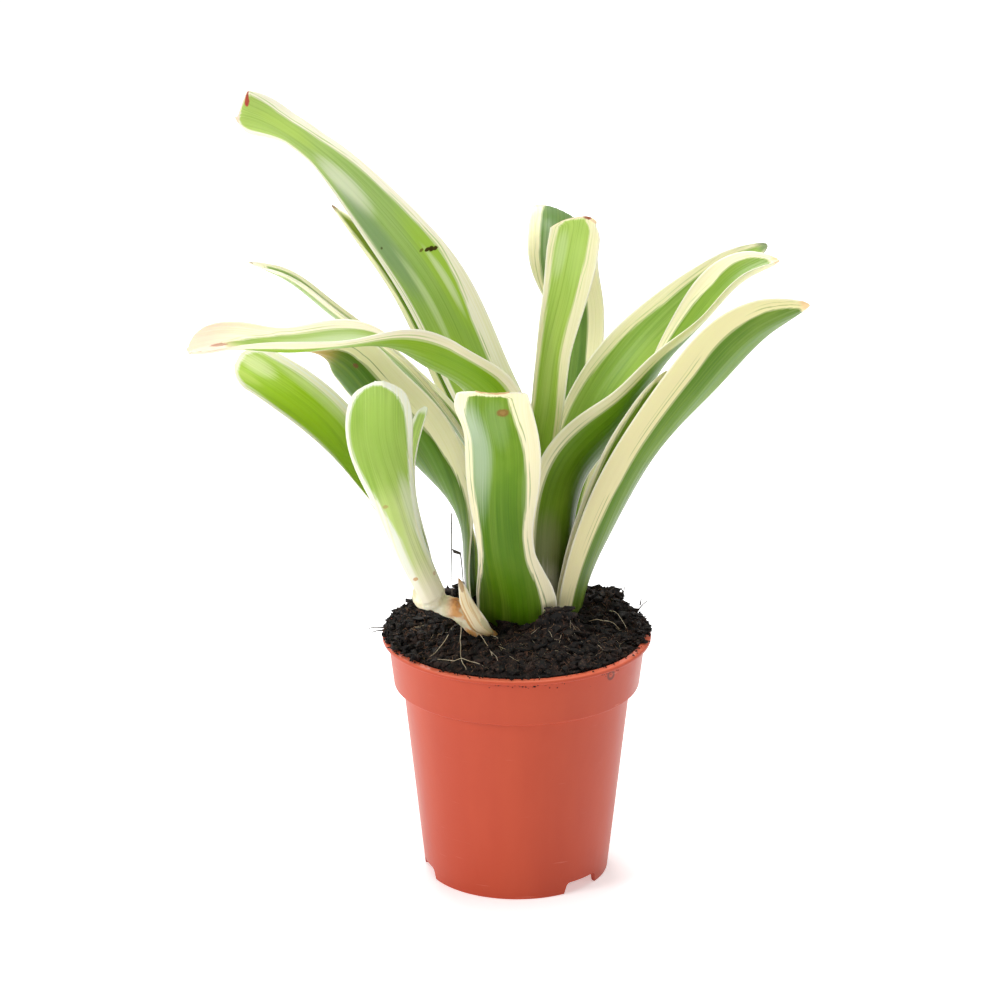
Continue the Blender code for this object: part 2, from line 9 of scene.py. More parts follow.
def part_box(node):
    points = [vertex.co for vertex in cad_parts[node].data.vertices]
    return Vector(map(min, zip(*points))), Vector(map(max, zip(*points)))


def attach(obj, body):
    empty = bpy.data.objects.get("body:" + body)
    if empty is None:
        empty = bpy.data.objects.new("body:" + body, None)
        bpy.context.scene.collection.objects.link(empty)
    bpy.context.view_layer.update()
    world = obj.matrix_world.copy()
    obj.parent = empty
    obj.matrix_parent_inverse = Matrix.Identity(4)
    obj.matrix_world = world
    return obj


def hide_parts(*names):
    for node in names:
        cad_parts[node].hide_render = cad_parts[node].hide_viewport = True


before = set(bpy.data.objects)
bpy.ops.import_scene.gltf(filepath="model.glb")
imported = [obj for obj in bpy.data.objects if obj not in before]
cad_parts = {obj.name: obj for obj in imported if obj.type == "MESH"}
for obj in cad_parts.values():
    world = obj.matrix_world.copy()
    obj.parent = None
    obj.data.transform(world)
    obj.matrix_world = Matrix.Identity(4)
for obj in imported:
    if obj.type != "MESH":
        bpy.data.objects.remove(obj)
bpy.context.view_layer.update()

mm = 0.001
potLow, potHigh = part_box("pot")
potX = (potLow[0] + potHigh[0]) / 2
potY = (potLow[1] + potHigh[1]) / 2


# helpers for modelling

def deselectAll():
    if bpy.context.object and bpy.context.object.mode != "OBJECT":
        bpy.ops.object.mode_set(mode="OBJECT")
    bpy.ops.object.select_all(action="DESELECT")


def makeActive(piece):
    deselectAll()
    piece.select_set(True)
    bpy.context.view_layer.objects.active = piece


def applyModifiers(piece):
    makeActive(piece)
    for modifier in list(piece.modifiers):
        bpy.ops.object.modifier_apply(modifier=modifier.name)


def readPoints(mesh):
    points = np.empty(len(mesh.vertices) * 3)
    mesh.vertices.foreach_get("co", points)
    return points.reshape(-1, 3)


def writePoints(mesh, points):
    mesh.vertices.foreach_set("co", np.ascontiguousarray(points, dtype=float).ravel())
    mesh.update()


def moveMesh(piece, x, y):
    writePoints(piece.data, readPoints(piece.data) + np.array([x, y, 0.0]))


def toPotAxis(points):
    # millimetres in the pot's own frame become metres in the shared frame
    return np.asarray(points) * mm + np.array([potX, potY, 0.0])


def polar(reach, angle):
    return reach * math.cos(angle), reach * math.sin(angle)


def editEdges():
    bpy.ops.object.mode_set(mode="EDIT")
    bpy.ops.mesh.select_mode(type="EDGE")
    bpy.ops.mesh.select_all(action="DESELECT")


def finishEditing():
    bpy.ops.mesh.select_all(action="SELECT")
    bpy.ops.mesh.normals_make_consistent(inside=False)
    bpy.ops.object.mode_set(mode="OBJECT")


def growRings(rings, radius, height):
    # the selected ring is extruded and scaled to each radius and height in turn
    for nextRadius, nextHeight in rings:
        share, climb = nextRadius / radius, (nextHeight - height) * mm
        bpy.ops.mesh.extrude_region_move(TRANSFORM_OT_translate={"value": (0, 0, climb)})
        bpy.ops.transform.resize(value=(share, share, 1), center_override=(0, 0, 0))
        radius, height = nextRadius, nextHeight


def turnProfile(name, profile, sides):
    deselectAll()
    radius, height = profile[0]
    bpy.ops.mesh.primitive_circle_add(vertices=sides, radius=radius * mm, fill_type="NGON",
                                      location=(0, 0, 0))
    piece = bpy.context.object
    piece.name = name
    bpy.ops.object.mode_set(mode="EDIT")
    bpy.ops.mesh.select_all(action="SELECT")
    bpy.ops.transform.translate(value=(0, 0, height * mm))
    growRings(profile[1:], radius, height)
    finishEditing()
    return piece


def drawTubes(name, kind, routes, thickness, roundness):
    # each route is a list of x, y, z in metres and a share of the thickness, which is in millimetres
    curve = bpy.data.curves.new(name, "CURVE")
    curve.dimensions = "3D"
    curve.bevel_depth = thickness * mm
    curve.bevel_resolution = roundness
    curve.use_fill_caps = True
    curve.resolution_u = 3
    for route in routes:
        spline = curve.splines.new(kind)
        spline.points.add(len(route) - 1)
        for point, (x, y, z, share) in zip(spline.points, route):
            point.co = (x, y, z, 1.0)
            point.radius = share
        spline.order_u = 4
        spline.use_endpoint_u = True
    tubes = bpy.data.objects.new(name, curve)
    bpy.context.scene.collection.objects.link(tubes)
    makeActive(tubes)
    bpy.ops.object.convert(target="MESH")
    return bpy.context.object


def finishPiece(piece, name, material, slotName, *nodes):
    piece.name = name
    piece.data.name = name
    piece.data.materials.clear()
    piece.data.materials.append(material)
    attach(piece, "root")
    if nodes:
        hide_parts(*nodes)


# helpers for materials, where a colour is three numbers as seen on screen, 0 to 255

def shade(red, green, blue):
    channels = []
    for level in (red, green, blue):
        level /= 255
        channels.append(level / 12.92 if level <= 0.04045 else ((level + 0.055) / 1.055) ** 2.4)
    return (*channels, 1.0)


def feed(tree, step, values):
    for key, value in values.items():
        if isinstance(value, bpy.types.NodeSocket):
            tree.links.new(value, step.inputs[key])
        else:
            step.inputs[key].default_value = value


def put(tree, kind, values=None, **settings):
    step = tree.nodes.new(kind)
    for key, value in settings.items():
        setattr(step, key, value)
    feed(tree, step, values or {})
    return step


def calc(tree, operation, first, second=0.0):
    return put(tree, "ShaderNodeMath", {0: first, 1: second}, operation=operation).outputs[0]


def add(tree, first, second):
    return calc(tree, "ADD", first, second)


def subtract(tree, first, second):
    return calc(tree, "SUBTRACT", first, second)


def multiply(tree, first, second):
    return calc(tree, "MULTIPLY", first, second)


def sway(tree, tone, amount):
    # a tone from 0 to 1 becomes a shift to either side of nought
    return multiply(tree, subtract(tree, tone, 0.5), amount)


def ovalReach(tree, x, y, middleX, middleY, halfX, halfY):
    # squared distance from an oval's middle, measured in its half sizes
    dx = calc(tree, "DIVIDE", subtract(tree, x, middleX), halfX)
    dy = calc(tree, "DIVIDE", subtract(tree, y, middleY), halfY)
    return add(tree, multiply(tree, dx, dx), multiply(tree, dy, dy))


def rise(tree, value, start, end, low=0.0, high=1.0):
    # a soft step from low to high as the value goes from start to end
    values = {"Value": value, "From Min": start, "From Max": end, "To Min": low, "To Max": high}
    return put(tree, "ShaderNodeMapRange", values, interpolation_type="SMOOTHSTEP").outputs[0]


def blend(tree, factor, first, second, mode="MIX"):
    first, second = (shade(*colour) if isinstance(colour, tuple) else colour for colour in (first, second))
    step = put(tree, "ShaderNodeMix", {0: factor, 6: first, 7: second}, data_type="RGBA", blend_type=mode)
    return step.outputs[2]


def layer(tree, under, over, value, start, end, strength=1.0):
    # one colour laid over another as the value goes from start to end
    return blend(tree, rise(tree, value, start, end, 0.0, strength), under, over)


def colourAlong(tree, value, stops):
    step = put(tree, "ShaderNodeValToRGB", {"Fac": value})
    ramp = step.color_ramp
    ramp.interpolation = "EASE"
    while len(ramp.elements) < len(stops):
        ramp.elements.new(0.5)
    for element, (place, *colour) in zip(ramp.elements, stops):
        element.position = place
        element.color = shade(*colour)
    return step.outputs[0]


def grain(tree, place, scale, detail=3.0, roughness=0.55):
    values = {"Vector": place, "Scale": scale, "Detail": detail, "Roughness": roughness}
    return put(tree, "ShaderNodeTexNoise", values).outputs[0]


def relief(tree, height, strength, depth):
    values = {"Height": height, "Strength": strength, "Distance": depth * mm}
    return put(tree, "ShaderNodeBump", values).outputs[0]


def stretched(tree, place, scale):
    return put(tree, "ShaderNodeMapping", {"Vector": place, "Scale": scale}).outputs[0]


def newMaterial(name):
    material = bpy.data.materials.new(name)
    material.use_nodes = True
    tree = material.node_tree
    place = put(tree, "ShaderNodeTexCoord").outputs["Object"]
    return material, tree, tree.nodes["Principled BSDF"], place


def plainMaterial(name, first, second, roughness):
    material, tree, shader, place = newMaterial(name)
    tone = grain(tree, place, 300.0, 4.0, 0.6)
    feed(tree, shader, {"Base Color": layer(tree, first, second, tone, 0.35, 0.68),
                        "Roughness": rise(tree, tone, 0.3, 0.7, roughness - 0.1, roughness + 0.1),
                        "Normal": relief(tree, tone, 0.4, 0.3)})
    return material


# camera, lights and floor

cameraSetup = {"lens": 144.0, "sensor": 36.0, "tilt": 19.0, "distance": 1.324,
               "target": (-0.0056, 0.0, 0.1307)}

lightSetup = {
    "keyLight": {"place": (-1.10, -0.62, 0.72), "size": 0.5, "power": 8.8, "aim": 0.12},
    "rightLight": {"place": (1.1, -0.2, 0.5), "size": 0.7, "power": 0.7, "aim": 0.12},
    "topLight": {"place": (0.05, 0.05, 1.3), "size": 0.8, "power": 11.0, "aim": 0.10},
    "backLight": {"place": (-0.3, 1.1, 0.9), "size": 0.8, "power": 9.0, "aim": 0.15},
}

backdropSetup = {"worldStrength": 0.28, "floorSize": 12, "floorGlow": 0.42, "floorRoughness": 0.9,
                 "floorTones": ((250, 250, 250), (254, 254, 254))}


def buildStudio():
    deselectAll()
    tilt = math.radians(cameraSetup["tilt"])
    targetX, targetY, targetZ = cameraSetup["target"]
    back, raised = polar(cameraSetup["distance"], tilt)
    bpy.ops.object.camera_add(location=(potX + targetX, potY + targetY - back, targetZ + raised),
                              rotation=(math.pi / 2 - tilt, 0, 0))
    camera = bpy.context.object
    camera.name = "camera"
    camera.data.lens = cameraSetup["lens"]
    camera.data.sensor_fit = "HORIZONTAL"
    camera.data.sensor_width = cameraSetup["sensor"]
    bpy.context.scene.camera = camera

    for name, setup in lightSetup.items():
        x, y, z = setup["place"]
        bpy.ops.object.light_add(type="AREA", location=(potX + x, potY + y, z))
        light = bpy.context.object
        light.name = name
        light.data.shape = "DISK"
        light.data.size = setup["size"]
        light.data.energy = setup["power"]
        # every lamp is aimed at a point on the pot's axis
        direction = Vector((potX, potY, setup["aim"])) - light.location
        light.rotation_euler = direction.to_track_quat("-Z", "Y").to_euler()

    world = bpy.data.worlds.new("studio")
    bpy.context.scene.world = world
    world.use_nodes = True
    feed(world.node_tree, world.node_tree.nodes["Background"],
         {"Color": (1.0, 1.0, 1.0, 1.0), "Strength": backdropSetup["worldStrength"]})
    bpy.context.scene.view_settings.view_transform = "Standard"

    bpy.ops.mesh.primitive_plane_add(size=backdropSetup["floorSize"], location=(0, 0, 0))
    floor = bpy.context.object
    floor.name = "floor"
    material, tree, shader, place = newMaterial("paleFloor")
    feed(tree, shader, {
        "Base Color": blend(tree, grain(tree, place, 3.0, 2.0), *backdropSetup["floorTones"]),
        "Roughness": backdropSetup["floorRoughness"], "Emission Color": (1.0, 1.0, 1.0, 1.0),
        "Emission Strength": backdropSetup["floorGlow"]})
    floor.data.materials.append(material)
    print("studio ready")


# leaves

crownAxis = {"x": 3.0, "y": 6.0, "foot": 83.0}
offsetAxis = {"x": -29.0, "y": -16.0, "foot": 103.6}

bladeMesh = {"rows": 130, "columns": 36, "tipCrowding": 1.35, "thinEdge": 0.35, "edgeReach": 2.5}
bladeRelief = {"waveStart": 30.0, "waveFall": 2.5, "minusShare": 0.8, "ribHeight": 0.045, "ribSpacing": 2.4,
               "slantFall": 1.5}

# stations hold x, y, z, width, cup and roll in millimetres and degrees. The plus side of a blade is a
# quarter turn anticlockwise from its azimuth, seen from above. Margins and greens go by share of the
# length. Patches of painted sheen and painted shade, some of them the leaf's own greens, and spots
# hold place along and across, half sizes, colour and strength. Lines hold distance outside the green,
# width and strength. A slant holds how much shorter one margin is, over what length, and how sharply.
plainLeaf = dict(
    thickness=0.8, tip=14, blunt=0.12, slant=(0, 1, 1), footTurn=0, footReach=16, deep=False, offset=False,
    cream=(248, 241, 202), lines=(), innerSheenAndTone=(), outerSheenAndTone=(), spots=())
offsetLeaf = dict(plainLeaf, thickness=0.6, blunt=0.35, offset=True)

leaves = {}
leaves["leaf_front"] = dict(
    plainLeaf, deep=True, azimuth=-107, ring=17, footWidth=28, tip=5, blunt=0.5, wave=(0.5, 48, 0.4),
    stations=((-1.8, -13.2, 98, 31, 46, 0), (-4.3, -17, 115, 22.2, 42, 0), (-6, -22, 138, 25.6, 40, 0),
              (-6, -31, 158, 27.6, 38, 0), (-8, -44, 174, 25.6, 28, 8), (-8, -58, 186, 21.6, 12, 10)),
    creamPlus=((0.15, 5), (0.3, 3.2), (0.45, 3.4), (0.6, 5), (0.8, 6.2)),
    creamMinus=((0, 1.4), (0.2, 2.4), (0.43, 4), (0.6, 3.8), (0.75, 3.6), (1, 4)), tipCream=1.8,
    inner=((0, 120, 150, 60), (1, 140, 170, 90)),
    outer=((0, 78, 114, 4), (0.35, 86, 126, 10), (0.6, 104, 144, 34), (1, 124, 158, 64)),
    cream=(246, 238, 200), lines=((1.1, 0.22, 0.6),), tipColour=(206, 160, 110), tipReach=0.7,
    footShadeAndTone=(70, 96, 20), footReach=12,
    outerSheenAndTone=((78, -6.8, 36, 5.8, (174, 190, 164), 0.72), (96, 1, 20, 5, (146, 172, 112), 0.4),
                (30, 2, 22, 7, (84, 122, 14), 0.5), (60, 9, 26, 2, (150, 172, 110), 0.4)),
    spots=((102, 3.4, 3.2, 2.2, (140, 98, 52), 0.9), (102, 3.4, 1.6, 1, (164, 126, 76), 0.6)))
leaves["leaf_right_front"] = dict(
    plainLeaf, deep=True, azimuth=-15, ring=17, footWidth=24, wave=(0.3, 60, 0),
    stations=((23, 1, 101, 26, 44, -6), (28, -1, 116, 26, 44, -16), (41, -3, 145, 26, 42, -28),
              (60, -7, 173, 26, 40, -42), (78, -11, 193.5, 22.5, 38, -46), (94, -14, 202, 11, 30, -45)),
    creamPlus=((0, 0.6), (1, 0.5)),
    creamMinus=((0, 4.5), (0.15, 6), (0.4, 7.6), (0.7, 7.6), (0.85, 6), (1, 3)), tipCream=3,
    inner=((0, 128, 142, 92), (0.4, 130, 160, 80), (1, 150, 175, 95)),
    outer=((0, 86, 112, 30), (0.35, 100, 138, 40), (0.7, 100, 138, 46), (1, 102, 134, 50)),
    cream=(232, 223, 170), lines=((1.3, 0.2, 0.5), (2.6, 0.14, 0.25)),
    tipColour=(238, 196, 150), tipReach=3.5, footShadeAndTone=(86, 100, 60), footReach=14,
    outerSheenAndTone=((112, 4, 40, 2.5, (140, 166, 110), 0.35), (60, 5, 30, 3.5, (86, 118, 40), 0.5)))
leaves["leaf_right_short"] = dict(
    plainLeaf, deep=True, azimuth=-25, ring=15.7, footWidth=18, footTurn=4, tip=10, wave=(0.2, 40, 0),
    stations=((20, 2.6, 104, 20, 36, 6), (29.6, 3.2, 128.5, 21, 40, -14), (40, 3, 151.5, 18, 40, -28),
              (46.5, 2, 166, 13, 35, -32), (49, 1, 175, 7, 25, -32)),
    creamPlus=((0, 0.8),), creamMinus=((0, 2.2), (0.6, 1.4), (1, 1)), tipCream=1.5,
    inner=((0, 110, 130, 60), (1, 140, 165, 85)),
    outer=((0, 84, 108, 34), (0.5, 104, 134, 50), (1, 118, 146, 66)),
    tipColour=(222, 214, 170), tipReach=5, footShadeAndTone=(86, 100, 60), footReach=14)
leaves["leaf_right_broad"] = dict(
    plainLeaf, deep=True, azimuth=10, ring=14.4, footWidth=28, footTurn=-40, tip=9, blunt=0.3,
    wave=(0.5, 42, 1.2),
    stations=((13.9, -1.6, 101, 27, 58, -44), (14.4, -1.6, 117, 28, 56, -52), (19.4, 4.8, 139, 28, 46, -58),
              (37, 9, 158, 26, 44, -46), (49, 11, 175, 25, 48, -18), (62, 13, 190.5, 26, 50, 0),
              (74, 15, 203, 25, 48, 2), (86, 17, 208, 15, 36, 4)),
    creamPlus=((0, 3), (0.5, 4.2), (0.7, 3.6), (0.8, 4), (0.86, 5.6), (0.92, 3.6), (1, 3)),
    creamMinus=((0, 3.4), (0.4, 3.6), (0.7, 3.4), (0.78, 5.4), (0.86, 8.6), (0.92, 6), (1, 3)), tipCream=2.4,
    inner=((0, 128, 134, 96), (0.3, 130, 155, 80), (0.6, 118, 152, 64), (0.85, 134, 166, 90),
           (1, 140, 166, 100)),
    outer=((0, 128, 124, 92), (0.16, 98, 112, 52), (0.3, 104, 134, 36), (0.55, 120, 160, 48),
           (1, 116, 152, 60)),
    lines=((1, 0.2, 0.4),), tipColour=(240, 196, 150), tipReach=3, footShadeAndTone=(150, 146, 120),
    outerSheenAndTone=((30, -6, 16, 8, (122, 122, 84), 0.6), (12, -6, 18, 10, (186, 180, 164), 0.85),
                (72, -8, 22, 5, (120, 156, 36), 0.5)),
    spots=((23, -8.7, 0.5, 0.5, (60, 50, 30), 0.9),))
leaves["leaf_right_back"] = dict(
    plainLeaf, azimuth=54, ring=15.7, footWidth=21, wave=(0.4, 50, 2),
    stations=((14, 23, 105, 22, 34, 0), (20, 35, 130, 23, 28, 0), (28, 38, 150, 25, 34, 0),
              (42, 39, 171, 23, 36, 2), (58, 41, 187, 19, 35, 6), (73, 43, 198.5, 13, 35, 10),
              (84, 44, 206, 7, 30, 5)),
    creamPlus=((0, 2), (0.35, 2.2), (0.55, 3.6), (0.75, 4.4), (0.92, 1.8), (1, 0.6)),
    creamMinus=((0, 4), (0.5, 4.5), (0.8, 2.5), (0.95, 0.8), (1, 0.4)), tipCream=0.6,
    inner=((0, 110, 135, 50), (0.5, 142, 174, 70), (1, 150, 178, 92)),
    outer=((0, 100, 125, 45), (1, 130, 155, 80)),
    lines=((1, 0.2, 0.35),), tipColour=(118, 132, 100), tipReach=5, footShadeAndTone=(100, 104, 66),
    innerSheenAndTone=((88, -4, 30, 4, (160, 190, 84), 0.5), (60, 0, 22, 6, (112, 146, 48), 0.5)))
leaves["leaf_back"] = dict(
    plainLeaf, azimuth=80, ring=17, footWidth=21, tip=12, wave=(0.4, 55, 0.5),
    stations=((8, 28, 105, 22, 34, 0), (17, 46, 133, 22, 28, 0), (19.5, 56, 160, 21, 24, 0),
              (20.1, 60, 182, 20, 20, 2), (15.8, 61, 199, 24, 8, 12), (16, 66, 205.5, 24, -16, 22),
              (16, 79, 208, 19, -20, 24), (17, 89, 201, 9, -20, 24)),
    creamPlus=((0, 2), (0.68, 1.2), (0.74, 2.2), (0.8, 3.8), (1, 3)),
    creamMinus=((0, 4), (0.5, 6), (0.7, 5.6), (0.85, 3.6)), tipCream=3,
    inner=((0, 90, 120, 50), (0.5, 104, 134, 62), (1, 112, 140, 84)),
    outer=((0, 90, 120, 50), (1, 112, 140, 84)),
    lines=((1, 0.2, 0.35),), tipColour=(236, 214, 176), tipReach=3, footShadeAndTone=(90, 96, 60),
    innerSheenAndTone=((120, 5, 20, 3, (158, 174, 140), 0.6),))
leaves["leaf_centre"] = dict(
    plainLeaf, azimuth=60, ring=9, footWidth=16, tip=6, blunt=0.72, wave=(0.4, 45, 0), slant=(9, 14, 2.4),
    stations=((8, 13, 105, 16, 56, 0), (7, 14, 133, 15, 65, 15), (10, 14, 161, 13, 60, 35),
              (12, 14, 178, 13, 50, 32), (16, 14, 195, 16, 36, 10), (19, 13, 211, 20, 30, 0),
              (21.5, 10, 226.5, 20, 30, -10)),
    creamPlus=((0, 1.6), (0.5, 1.2), (0.75, 1.4), (0.88, 2.2), (1, 2.8)),
    creamMinus=((0.5, 2.6), (0.7, 4.2), (0.85, 5.6), (1, 5.2)), tipCream=0.9,
    inner=((0, 150, 180, 62), (0.5, 166, 196, 78), (1, 178, 206, 102)),
    outer=((0, 140, 170, 60), (1, 150, 180, 80)),
    lines=((0.9, 0.2, 0.4),), tipColour=(232, 196, 160), tipReach=1, footShadeAndTone=(150, 170, 80), footReach=10,
    innerSheenAndTone=((128, -1, 12, 4, (186, 214, 116), 0.6), (129, 5, 12, 2.6, (206, 226, 160), 0.6),
                (90, 1, 34, 2, (190, 212, 110), 0.5)),
    spots=((145.5, -2.4, 1.6, 2.2, (140, 60, 48), 0.95),))
leaves["leaf_left_tall"] = dict(
    plainLeaf, azimuth=155, ring=13, footWidth=23, tip=6, blunt=0.35, wave=(0.5, 70, 0), slant=(-4, 10, 1),
    stations=((-8, 10.5, 105, 23, 56, 0), (-2, 14, 129, 26, 46, -12), (-13, 16, 165, 27, 30, -28),
              (-28, 18, 198, 26, 26, -30), (-46, 20, 222, 23, 26, -25), (-63, 21, 240, 21, 30, -5),
              (-75, 20, 250, 19, 30, 0), (-85, 18, 256, 18, 26, -20), (-92, 15, 259, 15, 18, -30)),
    creamPlus=((0, 3), (0.3, 2.2), (0.6, 1.8), (1, 1.4)),
    creamMinus=((0, 5), (0.35, 6), (0.5, 5.5), (0.62, 2.2), (0.8, 2.6), (0.93, 3.2), (1, 0.4)), tipCream=0.4,
    inner=((0, 140, 170, 60), (0.3, 160, 192, 74), (0.5, 150, 182, 80), (0.75, 164, 190, 112),
           (1, 176, 200, 104)),
    outer=((0, 130, 155, 80), (1, 150, 170, 120)),
    cream=(252, 247, 226), lines=((0.7, 0.22, 0.6),), tipColour=(240, 214, 190), tipReach=1,
    footShadeAndTone=(140, 165, 70), footReach=10,
    innerSheenAndTone=((166, 1.5, 17, 6, (226, 230, 204), 0.75), (144, 6, 30, 6, (124, 150, 108), 0.75),
                (124, -7, 30, 5, (168, 202, 62), 0.7), (90, 3, 26, 8, (160, 192, 66), 0.6),
                (121, -6, 16, 1.5, (230, 238, 200), 0.6), (118, 3.6, 26, 1.8, (206, 222, 166), 0.6),
                (192, -2, 14, 4, (180, 206, 96), 0.6)),
    spots=((133.4, -4.6, 0.5, 0.9, (96, 72, 26), 0.8), (132.4, -6.5, 0.6, 1.2, (66, 48, 12), 1),
           (131.8, -7.7, 0.9, 1.2, (58, 42, 8), 1), (131.2, -8.9, 0.7, 1, (66, 48, 12), 1),
           (143, 7.5, 0.5, 0.6, (70, 64, 30), 0.8), (209.5, -3.6, 2, 1.6, (184, 58, 66), 0.95)))
leaves["leaf_left_narrow"] = dict(
    plainLeaf, deep=True, azimuth=120, ring=15.8, footWidth=13, wave=(0.2, 50, 0),
    stations=((-5.5, 21, 105, 15, 27, 0), (-12, 34, 137, 17, 32, 0), (-25, 40, 167, 16, 35, 0),
              (-38, 44, 190, 11.5, 35, 0), (-51, 46, 207, 7, 35, 0), (-62, 47, 219, 2.4, 35, 0)),
    creamPlus=((0.5, 3), (1, 0.6)), creamMinus=((0, 3), (0.5, 2.6), (1, 0.6)), tipCream=0.6,
    inner=((0, 80, 112, 26), (0.6, 92, 128, 34), (1, 120, 132, 70)),
    outer=((0, 80, 112, 26), (1, 100, 130, 50)),
    tipColour=(140, 96, 76), tipReach=4, footShadeAndTone=(80, 96, 50))
leaves["leaf_left_slender"] = dict(
    plainLeaf, azimuth=165, ring=14.4, footWidth=19, wave=(0.3, 45, 1),
    stations=((-11.5, 10, 105, 20, 40, 0), (-13, 17, 135, 20, 42, 8), (-29, 21, 159, 20, 45, 18),
              (-46, 24, 175, 18, 50, 20), (-64, 26, 189, 15, 50, 16), (-77, 28, 199, 12, 45, 10),
              (-89, 29, 204, 5, 30, 5)),
    creamPlus=((0, 3.4), (0.5, 2.6), (1, 1.2)),
    creamMinus=((0, 4), (0.4, 3), (0.6, 1.8), (1, 1.4)), tipCream=6,
    inner=((0, 120, 145, 60), (1, 140, 165, 90)),
    outer=((0, 104, 132, 44), (0.5, 142, 168, 96), (1, 158, 180, 122)),
    cream=(248, 242, 210), lines=((0.8, 0.22, 0.6),), tipColour=(250, 236, 214), tipReach=4,
    footShadeAndTone=(100, 110, 60), footReach=14, spots=((157, 0, 0.6, 0.6, (120, 84, 60), 0.8),))
leaves["leaf_left_arching"] = dict(
    plainLeaf, deep=True, azimuth=-150, ring=15.7, footWidth=20, tip=8, blunt=0.4, wave=(0.9, 38, 0.6),
    stations=((-11.5, -4.5, 104, 20, 38, 0), (-9.5, -8, 130, 20, 40, 8), (-10, -11, 170, 22, 42, 30),
              (-26, -14, 182, 24, 44, 32), (-42, -17, 189, 24, 50, 10), (-59, -20, 190, 23, 56, 0),
              (-76, -24, 190, 22, 56, -5), (-94, -27, 192, 20, 48, -6), (-105, -30, 190.5, 15, 36, -5)),
    creamPlus=((0.5, 3), (0.86, 2.6), (0.95, 5), (1, 6)),
    creamMinus=((0, 3), (0.3, 2.6), (0.45, 2.8), (0.6, 2.8), (0.84, 3.2), (0.95, 9), (1, 10)), tipCream=12,
    inner=((0, 130, 155, 80), (0.4, 166, 190, 100), (0.7, 172, 194, 142), (1, 158, 184, 110)),
    outer=((0, 96, 128, 30), (0.35, 140, 176, 56), (0.7, 150, 184, 58), (1, 140, 172, 70)),
    cream=(249, 238, 212), lines=((0.9, 0.22, 0.5),), tipColour=(246, 206, 182), tipReach=19,
    footShadeAndTone=(70, 96, 24), footReach=12,
    innerSheenAndTone=((132, -3, 34, 4.5, (190, 204, 162), 0.7),),
    outerSheenAndTone=((150, 8, 28, 3, (170, 196, 90), 0.5), (100, 4, 18, 5, (128, 168, 44), 0.5)),
    spots=((180, -0.5, 3.2, 1.3, (160, 104, 76), 0.8), (187, 2.4, 0.9, 0.7, (184, 126, 100), 0.8)))
leaves["leaf_left_dark"] = dict(
    plainLeaf, deep=True, azimuth=172, ring=17, footWidth=18, tip=8, wave=(0.3, 50, 0),
    stations=((-17, 9, 100, 19, 33, 0), (-18, 10, 115, 20, 34, 8), (-24, 9, 133, 23, 33, 50),
              (-35, 6.5, 154, 23.5, 33, 76), (-49, 4, 170.5, 22, 34, 80), (-58, 2, 180, 17, 36, 70),
              (-65, 1, 182, 9, 36, 45), (-71, -1, 182.5, 4.5, 36, 30)),
    creamPlus=((0, 0.2), (0.28, 0.4), (0.5, 6.4), (0.6, 8), (0.85, 7), (1, 2)),
    creamMinus=((0, 0.6), (1, 0.4)), tipCream=0.5,
    inner=((0, 100, 130, 50), (1, 130, 155, 80)),
    outer=((0, 116, 110, 104), (0.16, 92, 116, 50), (0.3, 84, 120, 24), (0.8, 84, 120, 28),
           (1, 120, 128, 50)),
    cream=(240, 234, 196), lines=((2.2, 0.2, 0.6),), tipColour=(196, 158, 76), tipReach=15,
    footShadeAndTone=(196, 188, 190), footReach=14,
    outerSheenAndTone=((60, 1, 34, 3, (104, 142, 44), 0.5), (12, 2, 13, 7, (200, 194, 198), 0.85),
                (34, -7.5, 24, 2, (206, 212, 206), 0.7)),
    spots=((104, 0.7, 1.2, 0.9, (110, 60, 30), 0.8), (18, 6, 6, 1.2, (176, 170, 168), 0.5)))
leaves["offset_leaf_outer"] = dict(
    offsetLeaf, azimuth=160, ring=4.2, footWidth=14, tip=7, wave=(0.3, 40, 0),
    stations=((-38.2, -14, 120, 18, 76, 0), (-48, -12, 138, 19, 55, -10), (-59, -11, 157, 20, 35, -25),
              (-74, -10, 171, 20, 28, -32), (-91, -9, 182, 17, 22, -35)),
    creamPlus=((0, 1.5), (0.5, 1.2), (1, 1.4)), creamMinus=((0, 3), (0.5, 3.2), (1, 2.4)), tipCream=1.4,
    inner=((0, 190, 205, 110), (0.35, 160, 190, 56), (0.75, 158, 192, 40), (1, 172, 202, 84)),
    outer=((0, 200, 212, 130), (0.5, 150, 182, 60), (1, 160, 190, 70)),
    cream=(236, 238, 226), tipColour=(236, 240, 214), tipReach=2, footShadeAndTone=(232, 226, 190),
    innerSheenAndTone=((94, -2, 9, 4, (220, 230, 180), 0.7), (68, -6, 30, 3, (208, 222, 160), 0.6),
                (70, 4, 30, 5, (158, 194, 40), 0.6), (96, 4, 8, 2.5, (196, 214, 120), 0.5)))
